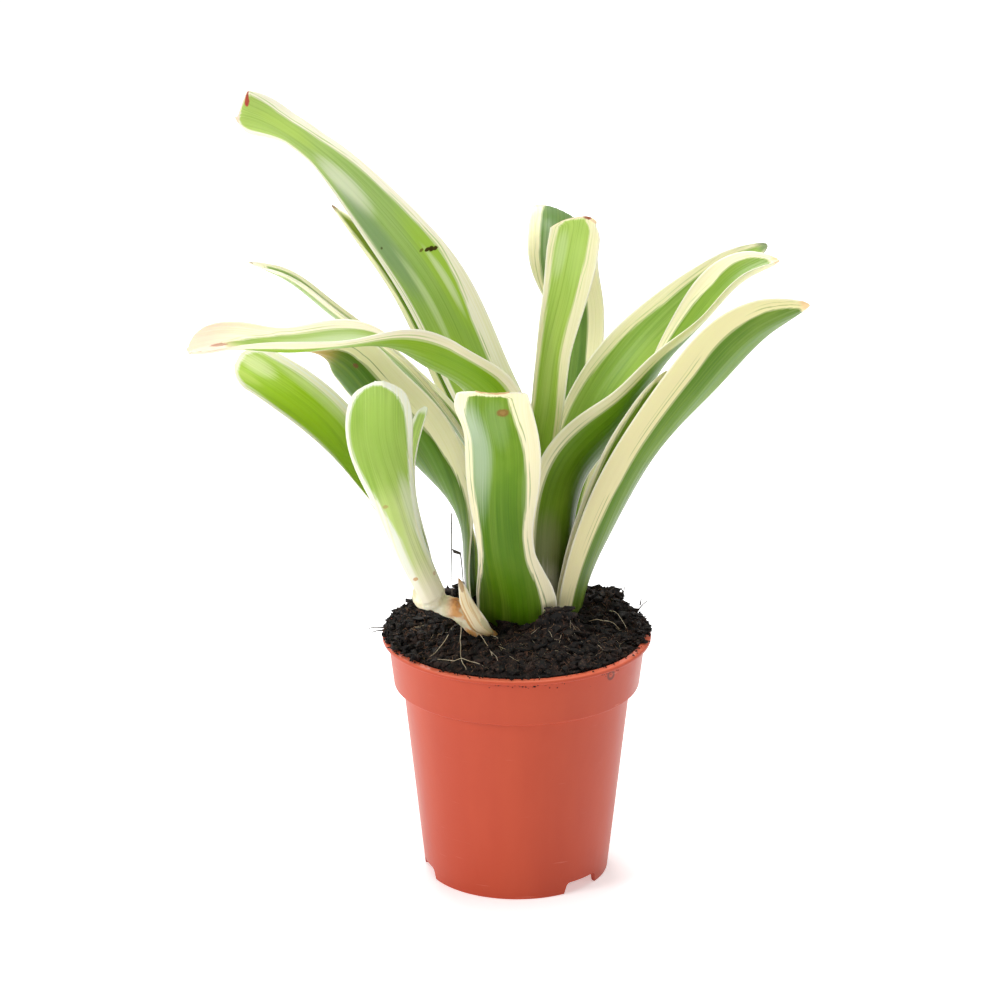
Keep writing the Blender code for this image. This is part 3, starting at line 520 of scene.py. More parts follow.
leaves["offset_leaf_front"] = dict(
    offsetLeaf, azimuth=-55, ring=5.5, footWidth=11, tip=8, wave=(0.2, 40, 0),
    stations=((-33.6, -22.9, 123, 14, 56, 0), (-38.9, -26.2, 142, 18.4, 48, -10),
              (-44, -29, 162, 23, 34, -28), (-44, -33, 177, 17, 28, -30), (-44, -36, 183, 9, 24, -30)),
    creamPlus=((0, 2), (0.3, 5), (0.5, 3.6), (0.7, 2.4), (1, 3)),
    creamMinus=((0, 2), (0.3, 3.6), (0.5, 1.8), (0.7, 1.2), (1, 1.4)), tipCream=1.6,
    inner=((0, 200, 210, 130), (1, 160, 190, 84)),
    outer=((0, 226, 224, 172), (0.25, 210, 219, 156), (0.42, 196, 212, 138), (0.56, 154, 186, 78),
           (0.8, 146, 178, 70), (1, 152, 184, 80)),
    cream=(232, 236, 218), tipColour=(238, 240, 220), tipReach=2, footShadeAndTone=(238, 230, 200), footReach=18,
    outerSheenAndTone=((64, 0, 16, 7, (156, 190, 80), 0.6), (34, 3, 16, 3, (220, 226, 196), 0.6),
                (30, -4, 22, 3.5, (186, 212, 110), 0.6)),
    spots=((38, -5, 0.7, 1, (178, 140, 80), 0.6), (10, -4, 0.7, 0.9, (196, 140, 80), 0.8),
           (8, 3, 0.8, 1, (190, 150, 100), 0.6)))
leaves["offset_leaf_inner"] = dict(
    offsetLeaf, azimuth=30, ring=3.2, footWidth=5, tip=4, blunt=0.45, wave=(0.1, 40, 0),
    stations=((-29.8, -12.9, 120, 5, 36, 0), (-33.6, -12, 136, 7, 46, 0), (-33.6, -10.2, 152, 9, 45, 0),
              (-29.5, -8, 165.5, 6, 40, 0)),
    creamPlus=((0, 0.8),), creamMinus=((0, 1.2),), tipCream=1,
    inner=((0, 200, 212, 140), (1, 176, 200, 110)), outer=((0, 200, 212, 140), (1, 176, 200, 110)),
    cream=(240, 242, 228), tipColour=(240, 242, 226), tipReach=3, footShadeAndTone=(234, 228, 194))


def curveThrough(stations, shares):
    # a natural cubic curve through the stations, read at shares of its length
    table = np.array(stations, dtype=float)
    steps = np.linalg.norm(np.diff(table[:, :3], axis=0), axis=1)
    knots = np.concatenate([[0.0], np.cumsum(steps)])
    at = knots[-1] * shares
    system, right = np.eye(len(knots)), np.zeros_like(table)
    for i in range(1, len(knots) - 1):
        system[i, i - 1:i + 2] = steps[i - 1] / 6, (steps[i - 1] + steps[i]) / 3, steps[i] / 6
        right[i] = (table[i + 1] - table[i]) / steps[i] - (table[i] - table[i - 1]) / steps[i - 1]
    bend = np.linalg.solve(system, right)
    i = np.clip(np.searchsorted(knots, at) - 1, 0, len(knots) - 2)
    before = ((knots[i + 1] - at) / steps[i])[:, None]
    after = 1 - before
    curve = before * table[i] + after * table[i + 1]
    bulge = (before ** 3 - before) * bend[i] + (after ** 3 - after) * bend[i + 1]
    return table, at, curve + (steps[i] ** 2)[:, None] / 6 * bulge


def sheathFoot(leaf):
    # the lowest station is an arc of the leaf's ring round its axis
    axis = offsetAxis if leaf["offset"] else crownAxis
    x, y = polar(leaf["ring"], math.radians(leaf["azimuth"] + leaf["footTurn"]))
    cup = math.degrees(leaf["footWidth"] / 2 / leaf["ring"])
    return axis["x"] + x, axis["y"] + y, axis["foot"], leaf["footWidth"], cup, leaf["footTurn"]


def unit(vectors):
    return vectors / np.linalg.norm(vectors, axis=1, keepdims=True)


def bladeShape(leaf, stations, rows, columns):
    # points in rows along the blade, with each row's distance from the foot and width
    crowded = 1 - (1 - np.linspace(0, 1, rows + 1)) ** bladeMesh["tipCrowding"]
    table, at, curve = curveThrough(stations, crowded)
    length = at[-1]
    form = np.clip(curve[:, 3:], table[:, 3:].min(axis=0), table[:, 3:].max(axis=0))
    centre = curve[:, :3]
    width, cup, roll = form[:, 0], np.radians(form[:, 1]), np.radians(form[:, 2:])
    along = unit(np.gradient(centre, at, axis=0))
    azimuth = math.radians(leaf["azimuth"])
    level = np.array([-math.sin(azimuth), math.cos(azimuth), 0.0])
    side = unit(level - (along @ level)[:, None] * along)
    up = np.cross(along, side)
    side, up = side * np.cos(roll) + up * np.sin(roll), up * np.cos(roll) - side * np.sin(roll)
    rest = np.clip((length - at) / leaf["tip"], 0, 1)
    width = width * np.maximum(np.sqrt(1 - (1 - rest) ** 2), leaf["blunt"])
    place = np.linspace(-1, 1, columns + 1)
    radius = (width / (2 * cup))[:, None]
    turn = cup[:, None] * place

    # waved margins and fine lengthwise ribs
    height, reach, phase = leaf["wave"]
    begun = np.clip((at - bladeRelief["waveStart"]) / bladeRelief["waveStart"], 0, 1)
    ripple = height * np.sin(2 * np.pi * at / reach + phase) * begun
    swing = np.where(place > 0, 1.0, -bladeRelief["minusShare"]) * np.abs(place) ** bladeRelief["waveFall"]
    ribs = bladeRelief["ribHeight"] * np.cos(place * width[:, None] * np.pi / bladeRelief["ribSpacing"])
    lift = radius * (1 - np.cos(turn)) + ripple[:, None] * swing + ribs
    points = (centre[:, None, :] + side[:, None, :] * (radius * np.sin(turn))[..., None]
              + up[:, None, :] * lift[..., None])

    # a slanted end is shorter on one margin than on the other
    slant, slantReach, slantPower = leaf["slant"]
    nearTip = np.clip((at - length + slantReach) / slantReach, 0, 1) ** bladeRelief["slantFall"]
    for column, across in enumerate(place):
        shorter = at - nearTip * abs(slant) * ((1 + math.copysign(1, slant) * across) / 2) ** slantPower
        for axis in range(3):
            points[:, column, axis] = np.interp(shorter, at, points[:, column, axis])
    return points, at, width


def setAttribute(mesh, name, values):
    layerOfPoints = mesh.attributes.new(name, "FLOAT", "POINT")
    layerOfPoints.data.foreach_set("value", np.ascontiguousarray(values, dtype=np.float32).ravel())


def buildBlade(name, leaf, stations, rows, columns):
    deselectAll()
    bpy.ops.mesh.primitive_grid_add(x_subdivisions=columns, y_subdivisions=rows, size=2,
                                    calc_uvs=True, location=(0, 0, 0))
    piece = bpy.context.object
    mesh = piece.data
    flat = readPoints(mesh)
    column = np.rint((flat[:, 0] + 1) / 2 * columns).astype(int)
    row = np.rint((flat[:, 1] + 1) / 2 * rows).astype(int)
    points, at, width = bladeShape(leaf, stations, rows, columns)
    writePoints(mesh, toPotAxis(points[row, column]))
    place = column / columns * 2 - 1
    half = width[row] / 2
    fraction = at[row] / at[-1]
    plus = np.interp(fraction, *zip(*leaf["creamPlus"]))
    minus = np.interp(fraction, *zip(*leaf["creamMinus"]))
    fromPlus, fromMinus = half * (1 - place), half * (1 + place)
    toTip = at[-1] - at[row]
    toRim = np.minimum(np.minimum(fromPlus, fromMinus), toTip)
    setAttribute(mesh, "along", at[row])
    setAttribute(mesh, "fraction", fraction)
    setAttribute(mesh, "across", half * place)
    setAttribute(mesh, "toGreen",
                 np.minimum(np.minimum(fromPlus - plus, fromMinus - minus), toTip - leaf["tipCream"]))
    setAttribute(mesh, "toTip", toTip)
    setAttribute(mesh, "toRim", toRim)

    # the blade is thinner towards its margin
    body = piece.vertex_groups.new(name="body")
    thin = bladeMesh["thinEdge"]
    fullness = np.round(thin + (1 - thin) * np.clip(toRim / bladeMesh["edgeReach"], 0, 1), 2)
    for level in np.unique(fullness):
        body.add(np.nonzero(fullness == level)[0].tolist(), float(level), "REPLACE")
    count = len(mesh.vertices)
    solid = piece.modifiers.new("thickness", "SOLIDIFY")
    solid.thickness = leaf["thickness"] * mm
    solid.offset = 0
    solid.vertex_group = "body"
    applyModifiers(piece)
    piece.vertex_groups.clear()
    setAttribute(piece.data, "outer", np.arange(len(piece.data.vertices)) < count)
    bpy.ops.object.shade_smooth()
    return piece


def leafMaterial(name, leaf, seed):
    material, tree, shader, place = newMaterial(name)
    along, across, fraction, toGreen, toTip, toRim, outer = (
        put(tree, "ShaderNodeAttribute", attribute_name=attribute).outputs["Fac"]
        for attribute in ("along", "across", "fraction", "toGreen", "toTip", "toRim", "outer"))

    def streaks(acrossScale, alongScale, shift, detail, roughness):
        x, y = multiply(tree, across, acrossScale), multiply(tree, along, alongScale)
        flow = put(tree, "ShaderNodeCombineXYZ", {0: x, 1: y, 2: seed + shift}).outputs[0]
        return grain(tree, flow, 1.0, detail, roughness)

    fine = streaks(2.1, 0.014, 0.0, 3.0, 0.6)
    broad = streaks(0.42, 0.007, 7.3, 2.0, 0.5)
    cloud = streaks(0.10, 0.035, 13.1, 3.0, 0.55)
    freckle = streaks(3.2, 0.9, 21.7, 2.0, 0.5)

    # green of the two faces, with lengthwise lines and clouds of paler tissue
    green = blend(tree, outer, colourAlong(tree, fraction, leaf["inner"]),
                  colourAlong(tree, fraction, leaf["outer"]))
    lighter = blend(tree, 0.28, green, (206, 224, 132))
    darker = blend(tree, 1.0, green, (206, 218, 190), "MULTIPLY")
    green = layer(tree, green, lighter, broad, 0.40, 0.75, 0.6)
    green = layer(tree, green, darker, fine, 0.40, 0.70, 0.6)
    green = layer(tree, green, lighter, cloud, 0.45, 0.8, 0.5)
    green = layer(tree, green, darker, freckle, 0.60, 0.80, 0.25)
    if leaf["deep"]:
        green = blend(tree, 1.0, green, (238, 241, 178), "MULTIPLY")
    # patches of painted sheen and painted shade on each face, some of them the leaf's own greens
    for face, sheenAndTone in ((subtract(tree, 1.0, outer), leaf["innerSheenAndTone"]), (outer, leaf["outerSheenAndTone"])):
        for *oval, colour, strength in sheenAndTone:
            spread = add(tree, ovalReach(tree, along, across, *oval), sway(tree, fine, 0.9))
            soft = multiply(tree, rise(tree, spread, 1.0, 0.0, 0.0, strength), face)
            green = blend(tree, soft, green, colour)

    # cream margins, with a yellow-green edge beside the green and faint lines
    margin = layer(tree, leaf["cream"], (232, 226, 170), fine, 0.4, 0.7, 0.5)
    margin = layer(tree, margin, (252, 249, 230), toRim, 0.9, 0.1, 0.6)
    drift = sway(tree, broad, 1.6)
    depth = add(tree, add(tree, toGreen, sway(tree, fine, 1.1)), drift)
    for distance, width, strength in leaf["lines"]:
        gap = calc(tree, "ABSOLUTE", add(tree, add(tree, toGreen, drift), distance))
        line = rise(tree, gap, width * 1.3, width * 0.5, 0.0, strength)
        margin = blend(tree, multiply(tree, line, rise(tree, cloud, 0.42, 0.56)), margin, green)
    colour = layer(tree, margin, blend(tree, 0.6, margin, green), depth, -0.15, 0.15)
    colour = layer(tree, colour, green, depth, 0.35, 0.8)

    # foot, tip and blemishes
    footward = add(tree, along, multiply(tree, fine, 6.0))
    # darker foot colours are painted shade down among the sheaths; paler ones are the sheaths' own colour
    colour = layer(tree, colour, leaf["footShadeAndTone"], footward, leaf["footReach"] + 3, 3.0, 0.85)
    ragged = add(tree, toTip, sway(tree, cloud, 5.0))
    colour = layer(tree, colour, leaf["tipColour"], ragged, leaf["tipReach"], leaf["tipReach"] * 0.3, 0.9)
    rough = multiply(tree, grain(tree, place, 1400.0, 2.0), 0.9)
    for *oval, tone, strength in leaf["spots"]:
        spread = add(tree, ovalReach(tree, along, across, *oval), rough)
        colour = layer(tree, colour, tone, spread, 1.6, 0.9, strength)

    feed(tree, shader, {
        "Base Color": colour, "Roughness": rise(tree, cloud, 0.3, 0.7, 0.28, 0.42),
        "Specular IOR Level": 0.18, "Subsurface Weight": 0.12, "Subsurface Radius": (0.6, 1.0, 0.2),
        "Subsurface Scale": 4 * mm, "Normal": relief(tree, fine, 0.35, 0.25)})
    return material


def buildLeaves():
    for number, (name, leaf) in enumerate(leaves.items()):
        stations = [sheathFoot(leaf), *leaf["stations"]]
        piece = buildBlade(name, leaf, stations, bladeMesh["rows"], bladeMesh["columns"])
        material = leafMaterial(f"{name}Skin", leaf, 3.7 * number)
        finishPiece(piece, f"{name}_fine", material, "offset_leaf" if leaf["offset"] else "leaf", name)
    print("leaves ready")


# pot

potSize = {
    "foot": 31.0, "footWidth": 1.6, "bodyTop": 38.2, "collarBottom": 41.2, "collarTop": 43.0, "lip": 45.0,
    "collarStart": 66.8, "lipStart": 82.4, "height": 83.8, "wall": 0.9, "floorLow": 4.0, "floorHigh": 5.0,
    "axisGap": 0.5, "footRound": 0.45, "lipRounds": (0.4, 0.6, 0.5), "bend": 0.5, "sides": 240,
    "notches": (-45.2, 74.8, 194.8), "notchWidth": 14.4, "notchHeight": 4.0, "notchDepth": 8.0,
    "notchLean": (0.7, 0.5), "notchRound": 1.1, "drain": 3.5, "drainCircle": 22.0, "smoothAngle": 32,
}


def arc(centreR, centreZ, radius, start, end, steps):
    angles = [math.radians(start + (end - start) * i / steps) for i in range(steps + 1)]
    return [(centreR + radius * math.cos(angle), centreZ + radius * math.sin(angle)) for angle in angles]


def potProfile():
    # radius and height, from the floor's underside out and up the wall, and back down inside
    size = potSize
    foot, body, lip = size["foot"], size["bodyTop"], size["lip"]
    collar, rim = size["collarBottom"], size["collarTop"]
    low, high, top = size["floorLow"], size["floorHigh"], size["height"]
    step, under = size["collarStart"], size["lipStart"]
    wall, turned, bend, centre = size["wall"], size["footRound"], size["bend"], size["axisGap"]
    lowRound, highRound, innerRound = size["lipRounds"]
    slope = (body - foot) / step
    ring = foot - size["footWidth"]
    inside = foot + slope * high - wall
    return [
        (centre, low), *arc(ring - 0.4, low - 0.4, 0.4, 90, 0, 4), (ring, 0.35), (ring + 0.3, 0.0),
        *arc(foot - turned, turned, turned, -90, 4, 5), (foot + slope * 20, 20), (foot + slope * 44, 44),
        (body - 0.02, step - 0.25), (body + 0.25, step),
        *arc(collar - turned, step + turned, turned, -90, 6, 5), ((collar + rim) / 2, (step + under) / 2),
        (rim - 0.02, under - 0.3), (rim + 0.3, under),
        *arc(lip - lowRound, under + lowRound, lowRound, -90, 0, 4),
        *arc(lip - highRound, top - highRound, highRound, 0, 90, 5),
        *arc(rim - wall + innerRound, top - innerRound, innerRound, 90, 180, 4),
        (collar - wall, step + wall + bend), (collar - wall - 0.4, step + wall),
        (body - wall, step + wall - bend), (inside, high + bend), (inside - bend, high), (centre, high)]


def cutAway(piece, cutter):
    boolean = piece.modifiers.new("cut", "BOOLEAN")
    boolean.operation = "DIFFERENCE"
    boolean.solver = "EXACT"
    boolean.object = cutter
    applyModifiers(piece)
    bpy.data.objects.remove(cutter, do_unlink=True)


def notchCutter(angle):
    # a box with its top edges rounded and its sides leaning in
    deselectAll()
    foot, half, top = potSize["foot"] * mm, potSize["notchWidth"] / 2 * mm, potSize["notchHeight"] * mm
    leanIn, leanOut = (lean * mm for lean in potSize["notchLean"])
    bpy.ops.mesh.primitive_cube_add(size=1, location=(0, 0, 0))
    cutter = bpy.context.object
    points = readPoints(cutter.data)
    above = points[:, 2] > 0
    points[:, 0] = foot + points[:, 0] * potSize["notchDepth"] * mm
    points[:, 1] = np.sign(points[:, 1]) * np.where(above, half - leanIn, half + leanOut)
    points[:, 2] = np.where(above, top, -1.0 * mm)
    writePoints(cutter.data, points)
    editEdges()
    bpy.ops.object.mode_set(mode="OBJECT")
    for edge in cutter.data.edges:
        ends = [cutter.data.vertices[i].co for i in edge.vertices]
        edge.select = all(end.z > top * 0.9 for end in ends) and abs(ends[0].y - ends[1].y) < 1e-6
    bpy.ops.object.mode_set(mode="EDIT")
    bpy.ops.mesh.bevel(offset=potSize["notchRound"] * mm, segments=5)
    bpy.ops.mesh.select_all(action="SELECT")
    bpy.ops.transform.rotate(value=-angle, orient_axis="Z", center_override=(0, 0, 0))
    finishEditing()
    # the box must now lie out along the angle
    if readPoints(cutter.data).mean(axis=0)[:2] @ polar(1.0, angle) < 0.8 * foot:
        raise ValueError("the notch cutter turned the wrong way")
    return cutter


def plasticMaterial():
    material, tree, shader, place = newMaterial("terracottaPlastic")
    soft = grain(tree, stretched(tree, place, (1.0, 1.0, 0.25)), 45.0, 3.0)
    colour = layer(tree, (182, 64, 33), (189, 71, 39), soft, 0.35, 0.7)
    right, depth, height = put(tree, "ShaderNodeSeparateXYZ", {0: place}).outputs
    # dust and fine soil specks, thicker below the lip and near the foot
    dust = grain(tree, place, 900.0, 4.0, 0.7)
    patch = grain(tree, place, 90.0, 2.0)
    nearFoot = multiply(tree, rise(tree, height, 12 * mm, 1 * mm), 0.6)
    often = calc(tree, "MAXIMUM", rise(tree, height, 70 * mm, 83 * mm), nearFoot)
    limit = subtract(tree, 0.80, multiply(tree, often, 0.07))
    limit = subtract(tree, limit, multiply(tree, patch, 0.09))
    colour = layer(tree, colour, (92, 40, 26), subtract(tree, dust, limit), 0.0, 0.02, 0.8)
    # light caught by the rounded edge of the lip
    colour = layer(tree, colour, (238, 118, 88), height, 83.1 * mm, 83.8 * mm, 0.75)
    # an oval brown ring dried on the collar, at the right of the front
    oval = ovalReach(tree, right, height, potX + 30.8 * mm, 80.2 * mm, 1.1 * mm, 1.7 * mm)
    gap = calc(tree, "ABSOLUTE", subtract(tree, calc(tree, "SQRT", oval), 0.85))
    ring = multiply(tree, rise(tree, gap, 0.45, 0.15, 0.0, 0.85), calc(tree, "LESS_THAN", depth, 0.0))
    colour = blend(tree, ring, colour, (104, 46, 28))
    # pale scuffs that run round the wall
    scuff = grain(tree, stretched(tree, place, (60.0, 60.0, 900.0)), 1.0, 2.0)
    colour = layer(tree, colour, (232, 150, 128), scuff, 0.70, 0.78, 0.25)
    feed(tree, shader, {
        "Base Color": colour, "Roughness": rise(tree, soft, 0.3, 0.7, 0.33, 0.42),
        "Specular IOR Level": 0.32, "Normal": relief(tree, grain(tree, place, 260.0, 3.0), 0.08, 0.6)})
    return material


def buildPot():
    pot = turnProfile("pot_turned", potProfile(), potSize["sides"])
    for degrees in potSize["notches"]:
        angle = math.radians(degrees)
        cutAway(pot, notchCutter(angle))
        deselectAll()
        x, y = polar(potSize["drainCircle"] * mm, angle)
        height = (potSize["floorLow"] + potSize["floorHigh"]) / 2 * mm
        bpy.ops.mesh.primitive_cylinder_add(vertices=40, radius=potSize["drain"] * mm, depth=4 * mm,
                                            location=(x, y, height))
        cutAway(pot, bpy.context.object)
    moveMesh(pot, potX, potY)
    makeActive(pot)
    bpy.ops.object.shade_smooth_by_angle(angle=math.radians(potSize["smoothAngle"]))
    finishPiece(pot, "pot_fine", plasticMaterial(), "pot_plastic", "pot")
    print("pot ready")


# soil

soilForm = {
    "edge": 41.5, "edgeHeight": 83.2, "mound": 5.5, "roundness": 6, "cells": 210,
    # heaps: x, y, height, spread
    "heaps": ((3, 8, 4, 14), (12.5, -14.5, 8.5, 4.2), (39, -9, -2.6, 6.5), (-17, 17, 3, 5),
              (-33, 12, 4.5, 6), (-30, -8, 1.5, 7), (32, 18, 4.6, 6.5)),
    # clods: size, height; their outline is warped by a softer noise
    "clods": ((8.5, 3.2), (3.6, 1.9), (1.5, 0.9)), "clodFade": 14, "warp": 1.2, "warpSize": 3.0,
    # the skirt follows the wall down to the floor: radius, height
    "skirt": ((41.2, 82.0), (39.8, 68.8), (36.8, 67.4), (30.2, 5.3)),
}

# the three shares are limits of one draw: on the soil, on the lip and on the collar. The rest
# is heaped over the lip on the left and at the right back
crumbForm = {"count": 5600, "seed": 4, "shares": (0.76, 0.84, 0.857), "lipHeight": 84.0, "collarSlope": 0.115,
             "sizes": (0.2, 0.25, 0.35, 0.5, 0.7, 1.1, 1.7), "soilReach": 41.0, "lipReach": 45.0}


def soilHeight(x, y):
    reach = min(math.hypot(x, y) / soilForm["edge"], 1.0)
    height = soilForm["edgeHeight"] + soilForm["mound"] * (1 - reach ** soilForm["roundness"])
    for heapX, heapY, heapTop, spread in soilForm["heaps"]:
        height += heapTop * math.exp(-((x - heapX) ** 2 + (y - heapY) ** 2) / (2 * spread ** 2))
    fade = 1 - reach ** soilForm["clodFade"]
    warp, wide = soilForm["warp"], soilForm["warpSize"]
    warpX, warpY = (warp * noise.noise(Vector((x / wide, y / wide, level))) for level in (11.0, 17.0))
    for size, amount in soilForm["clods"]:
        distance = noise.voronoi(Vector(((x + warpX) / size, (y + warpY) / size, 2.3)))[0][0]
        height += fade * amount * (0.55 - distance)
    return height


def peatMaterial():
    material, tree, shader, place = newMaterial("moistPeat")
    clod = grain(tree, place, 360.0, 5.0, 0.75)
    bit = grain(tree, place, 1500.0, 3.0, 0.6)
    # painted light and shade on the peat's own tones: lit clods, near-black painted shade between them
    lit = layer(tree, (26, 18, 14), (58, 43, 37), grain(tree, place, 110.0, 3.0, 0.6), 0.40, 0.62)
    colour = layer(tree, (6, 4, 4), lit, clod, 0.44, 0.62)
    colour = layer(tree, colour, (108, 82, 63), bit, 0.58, 0.70, 0.8)
    colour = layer(tree, colour, (4, 3, 3), bit, 0.36, 0.26, 0.9)
    feed(tree, shader, {
        "Base Color": colour, "Roughness": rise(tree, clod, 0.3, 0.7, 0.7, 0.95),
        "Specular IOR Level": 0.35, "Normal": relief(tree, bit, 0.8, 0.6)})
    return material


def buildSoil(material):
    deselectAll()
    cells, edge = soilForm["cells"], soilForm["edge"]
    bpy.ops.mesh.primitive_grid_add(x_subdivisions=cells, y_subdivisions=cells, size=2, location=(0, 0, 0))
    soil = bpy.context.object
    flat = readPoints(soil.data)
    # the square grid is rounded into a disc
    x = flat[:, 0] * np.sqrt(1 - flat[:, 1] ** 2 / 2) * edge
    y = flat[:, 1] * np.sqrt(1 - flat[:, 0] ** 2 / 2) * edge
    z = np.array([soilHeight(px, py) for px, py in zip(x, y)])
    writePoints(soil.data, np.stack([x, y, z], axis=1) * mm)
    editEdges()
    bpy.ops.mesh.select_non_manifold()
    growRings(soilForm["skirt"], edge, float(z.min()))
    bpy.ops.mesh.edge_face_add()
    finishEditing()
    moveMesh(soil, potX, potY)
    makeActive(soil)
    bpy.ops.object.shade_smooth()
    finishPiece(soil, "soil_fine", material, "peat", "soil")
    print("soil ready")


def placeCrumb(rng):
    # place and size of one crumb
    soilShare, lipShare, collarShare = crumbForm["shares"]
    lip = crumbForm["lipHeight"]
    kind = rng.random()
    if kind < soilShare:
        x, y = polar(crumbForm["soilReach"] * math.sqrt(rng.random()), rng.uniform(0, 2 * math.pi))
        size = rng.choice(crumbForm["sizes"]) * rng.uniform(0.7, 1.2)
        return x, y, soilHeight(x, y) + size * 0.3, size
    if kind < lipShare:
        x, y = polar(min(rng.gauss(42.3, 1.1), crumbForm["lipReach"]), rng.uniform(0, 2 * math.pi))
        size = rng.uniform(0.15, 0.45)
        return x, y, lip + size * 0.4, size
    if kind < collarShare:
        x = rng.gauss(3, 7) if rng.random() < 0.7 else rng.gauss(31, 2)
        z = potSize["lipStart"] - 0.1 - abs(rng.gauss(0, 0.9))
        wall = potSize["collarTop"] - (potSize["lipStart"] - z) * crumbForm["collarSlope"]
        return x, -math.sqrt(wall ** 2 - x ** 2), z, rng.uniform(0.12, 0.32)
    left = rng.random() < 0.55
    angle = math.radians(rng.gauss(176, 20) if left else rng.gauss(24, 22))
    reach = rng.uniform(39.5, 44.8)
    size = rng.uniform(0.4, 1.3) * (1.0 if reach < 44 else 0.6)
    z = lip + size * 0.4 + abs(rng.gauss(0, 1.3)) * max(0.0, (45.2 - reach) / 4)
    return *polar(reach, angle), z, size


def buildCrumbs(material):
    rng = random.Random(crumbForm["seed"])
    deselectAll()
    bpy.ops.mesh.primitive_ico_sphere_add(subdivisions=1, radius=1, location=(0, 0, 0))
    model = bpy.context.object
    shape = readPoints(model.data)
    faces = [tuple(face.vertices) for face in model.data.polygons]
    allPoints, allFaces = [], []
    for _ in range(crumbForm["count"]):
        x, y, z, size = placeCrumb(rng)
        c, s = polar(1.0, rng.uniform(0, 6.28))
        stretch = np.array([rng.uniform(0.6, 2.0), rng.uniform(0.5, 1.1), rng.uniform(0.4, 1.0)])
        jitter = np.array([[rng.uniform(0.45, 1.35)] for _ in range(len(shape))])
        bodyX, bodyY, bodyZ = (shape * jitter * stretch * size).T
        start = len(allPoints) * len(shape)
        allPoints.append(np.stack([x + bodyX * c - bodyY * s, y + bodyX * s + bodyY * c, z + bodyZ], axis=1))
        allFaces += [tuple(start + i for i in face) for face in faces]
    bpy.data.objects.remove(model, do_unlink=True)
    mesh = bpy.data.meshes.new("soil_crumbs")
    mesh.from_pydata(toPotAxis(np.concatenate(allPoints)).tolist(), [], allFaces)
    mesh.update()
    crumbs = bpy.data.objects.new("soil_crumbs", mesh)
    bpy.context.scene.collection.objects.link(crumbs)
    finishPiece(crumbs, "soil_crumbs", material, "peat")
    print("crumbs ready")


fibreForm = {"count": 1600, "seed": 11, "reach": 40.5, "limit": 41.0, "steps": 4, "tanShare": 0.22,
             "darkThickness": 0.10, "tanThickness": 0.07}
threadEnd = 0.45


def threads(name, routes, thickness, material, slotName):
    # thin roots and fibres: each route is a list of points in millimetres, and narrows to its end
    narrowing = [np.linspace(1.0, threadEnd, len(route)) for route in routes]
    tapered = [np.column_stack([toPotAxis(route), widths]) for route, widths in zip(routes, narrowing)]
    piece = drawTubes(name, "NURBS", tapered, thickness, 0)
    bpy.ops.object.shade_smooth()
    finishPiece(piece, name, material, slotName)


def buildFibres():
    rng = random.Random(fibreForm["seed"])
    dark, tan = [], []
    steps = fibreForm["steps"]
    for _ in range(fibreForm["count"]):
        x, y = polar(fibreForm["reach"] * math.sqrt(rng.random()), rng.uniform(0, 2 * math.pi))
        heading = rng.uniform(0, 2 * math.pi)
        length = rng.uniform(1.0, 4.5)
        curl = rng.uniform(-0.9, 0.9)
        route = [(x, y, soilHeight(x, y) - 0.2)]
        for _ in range(steps):
            heading += curl + rng.uniform(-0.4, 0.4)
            dx, dy = polar(length / steps, heading)
            x, y = x + dx, y + dy
            if math.hypot(x, y) > fibreForm["limit"]:
                break
            route.append((x, y, soilHeight(x, y) + rng.uniform(0.2, 1.1)))
        if len(route) >= steps:
            (tan if rng.random() < fibreForm["tanShare"] else dark).append(route)
    darkMaterial = plainMaterial("darkFibre", (40, 24, 18), (124, 84, 62), 0.85)
    tanMaterial = plainMaterial("tanFibre", (120, 84, 56), (176, 140, 104), 0.7)
    threads("soil_fibres_dark", dark, fibreForm["darkThickness"], darkMaterial, "peat")
    threads("soil_fibres_tan", tan, fibreForm["tanThickness"], tanMaterial, "peat")
    print("fibres ready")


# offset shoot's stolon, bract and roots

offsetStem = {
    # radius, height
    "bulb": ((0.4, 98.5), (2.6, 98.8), (4.0, 99.4), (4.7, 100.0), (5.25, 100.9), (5.4, 101.6), (5.45, 103.0),
             (5.3, 104.6), (4.9, 105.6), (3.6, 106.2), (0.4, 106.4)),
    # x, y, z, radius
    "stolon": ((-28, -16, 99.9, 2.0), (-24.8, -16.2, 99.6, 3.2), (-18.8, -16.8, 97.6, 3.6),
               (-14.9, -17, 93.8, 3.5), (-11.5, -16.6, 90.0, 3.3), (-7.5, -15.6, 86.0, 3.0),
               (-5, -15, 82.0, 2.7)),
    "bulbSides": 48, "stolonSteps": 40, "voxel": 0.45, "wrinkle": 0.28, "rustStart": -24.5,
}

bract = dict(
    plainLeaf, thickness=0.6, azimuth=-100, tip=4, blunt=0.2, wave=(0.3, 14, 0),
    stations=((-8.8, -21.7, 91, 3.5, 30, 0), (-12.4, -22.8, 94.5, 6.8, 31, 0),
              (-14.6, -22.8, 98.3, 6.2, 32, 0), (-16.6, -22, 102.4, 4.8, 30, 0),
              (-17.9, -20.7, 106.9, 2.8, 28, 0), (-19.2, -19.2, 110.2, 1.2, 28, 0)),
    creamPlus=((0, 9),), creamMinus=((0, 9),), tipCream=1,
    inner=((0, 190, 170, 130), (1, 200, 180, 140)), outer=((0, 190, 170, 130), (1, 200, 180, 140)),
    cream=(226, 208, 172), tipColour=(150, 104, 68), tipReach=2.6, footShadeAndTone=(188, 150, 96), footReach=5,
    spots=((10, -2.7, 9, 0.8, (186, 128, 58), 0.85), (12, -1.2, 7, 0.3, (196, 150, 92), 0.6),
           (9, 1, 6, 0.4, (196, 160, 106), 0.6), (15, 0.4, 7, 0.22, (206, 166, 112), 0.6),
           (4, 2.2, 4, 1.2, (150, 146, 104), 0.6), (13, 2.4, 7, 0.35, (214, 188, 140), 0.6),
           (21, 0, 3.5, 0.9, (150, 104, 66), 0.7)))
bractMesh = {"rows": 40, "columns": 12}


